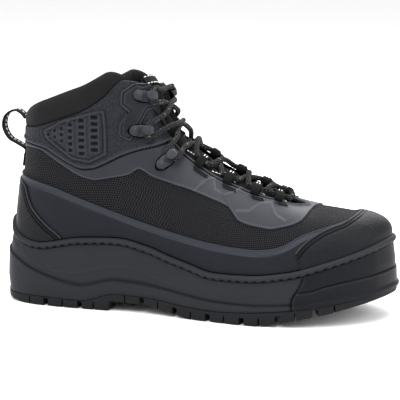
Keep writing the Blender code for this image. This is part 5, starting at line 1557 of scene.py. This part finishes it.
# %% Midsole
def side_profile(u, heights, proud):
    """Side of the midsole: heights run from 0 at the tread to 1 at the ridge and 2 at the
    welt. How far out each is comes from the side points. Returns reach, height and taper."""
    steps = [point.height for point in MIDSOLE_SIDE]
    out = np.interp(heights, steps, [point.out for point in MIDSOLE_SIDE])
    taper = np.interp(heights, steps, [point.taper for point in MIDSOLE_SIDE])
    tread, ridge = level("tread", u) + GAP, level("ridge", u)
    welt = level("feather", u) - WELT_HEIGHT
    z = np.where(heights < 1, tread + (ridge - tread) * heights,
                 ridge + (welt - ridge) * (heights - 1))
    return proud + RIDGE_STEP * out + 0 * z, z, taper + 0 * z


def around_sole(u, reach, z, taper):
    """Points of the sole's outline for whole grids of reach, height and taper."""
    x, y = plan(u)
    nx, ny = outward(u)
    reach = reach - taper * BALL_WIDTH * ease(mirrored(SOLE, "taper"), u)
    return stack(x + nx * reach, y + ny * reach, z)


CONTOURS = (((-25.0, 40.0), (-15.7, 35.7), (-5.4, 30.5), (3.2, 29.0), (11.9, 28.4), (21.3, 28.2),
             (32.5, 30.1), (41.9, 32.8), (53.0, 35.2), (63.2, 36.3), (72.5, 35.9), (83.4, 33.9),
             (96.9, 29.1), (110.0, 25.0)),
            ((-29.0, 54.0), (-27.1, 50.1), (-23.8, 42.8), (-16.9, 35.0)))
MIDSOLE_RIM = 13 * MM
heights = np.concatenate([np.linspace(0, 0.98, 12), [1.0, 1.02, 1.05, 1.1],
                          np.linspace(1.15, 2.0, 34)])
reach, z, taper = side_profile(columns, heights, 0.0)
face = around_sole(columns, reach, z, taper)
contours = sum(bell(from_line(face, line), 0.0, 0.9 * MM) for line in CONTOURS)
face = around_sole(columns, reach + 0.5 * MM * contours, z, taper)
behind = around_sole(columns, -MIDSOLE_RIM + 0 * z, z, 1.0 + 0 * z)
SEAM = [(point[0] / MM - 0.8, point[1] / MM) for point in rounded(BUMPER_SEAM, 2)]
# Painted shade in the bumper's seam and under the overhanging ridge, and painted highlights on the
# contours.
seam = bell(from_line(face, SEAM), 0.0, 0.9 * MM)
shade_under_ridge = bell(heights, 1.06, 0.05) * 0.6 + 0 * z
add_piece("midsole_wedge", "midsole_rubber", [shell(face, behind, True)], ["midsole"],
          {"painted_shade": both_faces(np.clip(seam + shade_under_ridge, 0, 1)),
           "rim": both_faces(0.3 * np.clip(contours, 0, 1))})

# %% [markdown]
# ## Welt
# The bead is sewn down. The groove under it has small swells, and the dips between them are
# darkened as dashes of painted shade.

# %% Welt
u = np.linspace(0, KNOTS, 901)[:-1]
bead = smooth(np.array(WELT_SIDE), 4)
low = (level("feather", u) - WELT_HEIGHT)[:, None]
run = np.concatenate([[0.0], np.cumsum(np.hypot(*np.diff(np.stack(plan(u)), axis=1)))])
beat = np.sin(2 * math.pi * run / (7.0 * MM))[:, None]
ripple = 0.35 * MM * beat * bell(bead[:, 1], 0.15, 0.25)
outer = around_sole(u[:, None], WELT_HEIGHT * bead[:, 0] + ripple, low + WELT_HEIGHT * bead[:, 1],
                    1.0 + 0 * low)
inner = around_sole(u[:, None], -FEATHER_INSET + 0.3 * MM + 0 * bead[:, 0],
                    low + WELT_HEIGHT * (bead[:, 1] * 0.9), 1.0 + 0 * low)
# Painted shade in the dips between the swells, and a painted highlight along the bead's crown.
shade_dashes = step_up(-beat, -0.1, 0.4) * bell(bead[:, 1], 0.18, 0.16)
rim = bell(bead[:, 1], 0.62, 0.16) + 0 * beat
add_piece("welt_bead", "midsole_rubber", [shell(outer, inner, True)], ["welt"],
          {"painted_shade": both_faces(shade_dashes), "rim": both_faces(0.35 * rim)})

# %% [markdown]
# ## Toe bumper
# The bumper is let into the wedge. It has the profile of the wedge, a little prouder, and ends
# along a seam. Every row finds its own two ends there, so that the grid fits the seam exactly.

# %% Toe bumper
FOLD = ((215.0, 27.5), (224.3, 28.8), (232.9, 32.1), (245.8, 35.1), (257.7, 37.0), (268.0, 38.5),
        (278.0, 40.0), (290.0, 41.0))
seam_line = rounded(BUMPER_SEAM, 2)[::-1]
heights = np.concatenate([np.linspace(0, 0.98, 12), [1.0, 1.02, 1.05], np.linspace(1.1, 2.0, 40)])
tries = np.linspace(10.0, 18.0, 401)
face = around_sole(tries[:, None], *side_profile(tries[:, None], heights, BUMPER_PROUD))
ahead = face[..., 0] > np.interp(face[..., 2], seam_line[:, 1], seam_line[:, 0])
first = tries[np.argmax(ahead, axis=0)]
last = tries[len(tries) - 1 - np.argmax(ahead[::-1], axis=0)]
share = np.concatenate([NEAR_EDGE / (220 * MM), np.linspace(0.04, 0.96, 200),
                        1 - NEAR_EDGE[::-1] / (220 * MM)])[:, None]
bu = first + (last - first) * share


def bumper_face(proud):
    """The bumper's grid at its own loop positions, one for each point."""
    return around_sole(bu, *side_profile(bu, heights, proud))


flat_face = bumper_face(BUMPER_PROUD)
fold_z = np.interp(flat_face[..., 0] / MM, [p[0] for p in FOLD], [p[1] for p in FOLD]) * MM
panel = step_up(flat_face[..., 2], fold_z - 0.2 * MM, fold_z + 1.2 * MM)
d = np.minimum(np.linalg.norm(flat_face - flat_face[:1], axis=-1),
               np.linalg.norm(flat_face - flat_face[-1:], axis=-1))
proud = BUMPER_PROUD + 0.5 * MM - 0.9 * MM * panel - 0.8 * MM * (1 - rounded_edge(d, 1.2 * MM))
bumper = shell(bumper_face(proud), bumper_face(-BUMPER_DEPTH + 0 * proud), False)
# Painted shade in the recess above the fold, and painted highlights along both ends and on the bulge
# below the fold.
add_piece("bumper_rubber", "bumper_rubber", [bumper], ["toe_bumper"],
          {"painted_shade": both_faces(0.9 * bell(flat_face[..., 2], fold_z + 0.7 * MM, 0.6 * MM)),
           "rim": both_faces(0.6 * bell(d, 0.8 * MM, 0.8 * MM)
                             + 0.7 * bell(flat_face[..., 2], fold_z - 0.8 * MM, 0.7 * MM))})

# %% [markdown]
# ## Outsole
# The tread could be cut with booleans. Here a band follows the outline and steps up at each
# notch, a plate closes it below the wedge, and six-sided lugs with a round hole stand on the
# plate.

# %% Outsole
NOTCHES = ((-17, 1.3), (-2, 4.2), (13, 1.3), (28, 4.2), (40, 1.3), (67, 1.3), (82, 4.2), (96, 1.3),
           (111, 4.2), (125, 1.3), (140, 4.2), (154, 1.3), (169, 4.2), (183, 1.3), (198, 4.2),
           (212, 1.3), (227, 4.2), (241, 1.3))
SIPE_DEPTH = 5.5 * MM
PLATE_FLOOR = 3.6 * MM


def loop_place(x, medial):
    """Loop position where the sole's outline passes X, on one side."""
    half = np.linspace(0, LAST, 1401)
    found = np.interp(x, plan(half)[0], half)
    return KNOTS - np.interp(x, plan(KNOTS - half)[0], half) if medial else found


def tread_floor(points_x, u):
    """Height of the lugs' underside, with the arch between heel and forefoot."""
    arch = np.array([side_point(corner) for corner in ARCH])
    raised = np.interp(points_x, arch[:, 0], arch[:, 1], left=0.0, right=0.0)
    return np.maximum(level("floor", u), raised)


notch_u = []
for x, width in NOTCHES:
    for side in (False, True):
        place = loop_place((x + np.array([-0.5, 0.5]) * width) * MM, side)
        notch_u.append(np.sort(place))
notch_u = np.array(notch_u)
STEEP = 0.004
u = np.unique(np.round(np.concatenate([
    ROUND, *(np.array([a - STEEP, a + STEEP, b - STEEP, b + STEEP]) for a, b in notch_u)]), 5))
inside = np.zeros(len(u), dtype=bool)
for a, b in notch_u:
    inside |= (u > a) & (u < b)
floor_z = tread_floor(plan(u)[0], u)
deep = floor_z + np.where(inside, SIPE_DEPTH, 0.0)
roof = level("tread", u)
deep = np.minimum(deep, roof - 0.8 * MM)
reaches = np.array([-0.2, -0.2, -0.6, -1.4, -3.0, -8.0, -13.0, -13.4, -13.4]) * MM
heights = [roof, deep + 1.4 * MM, deep + 0.5 * MM, deep, deep, deep, deep, deep + 0.5 * MM,
           np.maximum(deep + 3 * MM, floor_z + PLATE_FLOOR + 1 * MM)]
heights = np.minimum(np.stack(heights, axis=1), roof[:, None])
rim = around_sole(u[:, None], reaches + 0 * heights, heights, 0 * heights)
lid = around_sole(u[:, None], reaches + 0 * heights, roof[:, None] + 0 * heights, 0 * heights)
edge_band = shell(rim, lid, True)

half = np.linspace(0.15, LAST - 0.15, 150)
share = np.linspace(0, 1, 12)[None, :, None]
lateral, medial = (outline(side, -0.010, level("tread", half)) for side in (half, KNOTS - half))
ceiling = lateral[:, None] + (medial - lateral)[:, None] * share
plate_z = tread_floor(lateral[:, 0], half) + PLATE_FLOOR
plate_z = np.minimum(plate_z, level("tread", half) - 0.5 * MM)[:, None]
under = stack(ceiling[..., 0], ceiling[..., 1], plate_z)
base_plate = shell(ceiling, under, False)

LUG_SIDES = 24
LugRow = namedtuple("LugRow", "x offsets size turn")
LUGS = (LugRow(-22, (0,), 8.5, 0.0), LugRow(-2, (-11, 11), 7.5, 0.5), LugRow(20, (0,), 9.0, 0.0),
        LugRow(38, (-11, 11), 7.0, 0.5), LugRow(100, (-10, 12), 7.0, 0.0),
        LugRow(119, (-19, 1, 21), 7.6, 0.5), LugRow(139, (-24, -6, 12, 28), 7.4, 0.0),
        LugRow(158, (-27, -9, 9, 27), 7.6, 0.5), LugRow(178, (-27, -9, 10, 29), 7.6, 0.0),
        LugRow(198, (-24, -5, 14, 31), 7.4, 0.5), LugRow(217, (-16, 2, 20), 7.2, 0.0),
        LugRow(235, (-3, 15), 6.6, 0.5))
angle = np.linspace(0, 2 * math.pi, LUG_SIDES + 1)[:-1]
lugs = []
for row in LUGS:
    for number, offset in enumerate(row.offsets):
        x = row.x * MM
        u_here = loop_place(x, False)
        ground = float(tread_floor(x, np.array([u_here]))[0])
        corner = np.cos(math.pi / 6) / np.cos(np.mod(angle + row.turn, math.pi / 3) - math.pi / 6)
        ring = stack(np.cos(angle) * corner, np.sin(angle) * corner, 0.0) * row.size * MM
        hole = stack(np.cos(angle), np.sin(angle), 0.0) * 2.2 * MM
        middle = np.array([x, offset * MM, 0.0])
        top = np.array([0, 0, ground + PLATE_FLOOR + 1.5 * MM])
        bottom, mouth = (np.array([0, 0, ground + z]) for z in (0.0, 0.6 * MM))
        rings = [ring * 1.06 + top, ring + mouth, ring * 0.93 + bottom, hole * 1.2 + bottom,
                 hole + mouth, hole * 0.9 + top - (0, 0, MM), hole * 0.05 + top - (0, 0, MM)]
        grid = np.stack([part + middle for part in rings])
        lugs.append(surface(grid, np.zeros((len(rings) + 1, LUG_SIDES + 1, 2)), False))
add_piece("outsole_tread", "outsole_rubber", [edge_band, base_plate] + lugs, ["outsole"], angle=35)

# %% [markdown]
# ## Floor
# White paper just below the tread, so that the boot has a soft shadow.

# %% Floor
floor_mesh = bpy.data.meshes.new("floor")
floor_mesh.from_pydata([(-6, -6, -0.0004), (6, -6, -0.0004), (6, 6, -0.0004), (-6, 6, -0.0004)],
                       [], [(0, 1, 2, 3)])
floor = bpy.data.objects.new("floor", floor_mesh)
bpy.context.scene.collection.objects.link(floor)
paper = bpy.data.materials.new("floor_paper")
paper.use_nodes = True
paper.node_tree.nodes["Principled BSDF"].inputs["Base Color"].default_value = (0.9, 0.9, 0.9, 1)
paper.node_tree.nodes["Principled BSDF"].inputs["Roughness"].default_value = 0.9
floor_mesh.materials.append(paper)

# %% [markdown]
# ## Sizes
# The box of the solids is taken apart into its low and high corners.

# %% Sizes and finish
low, high = cad_box
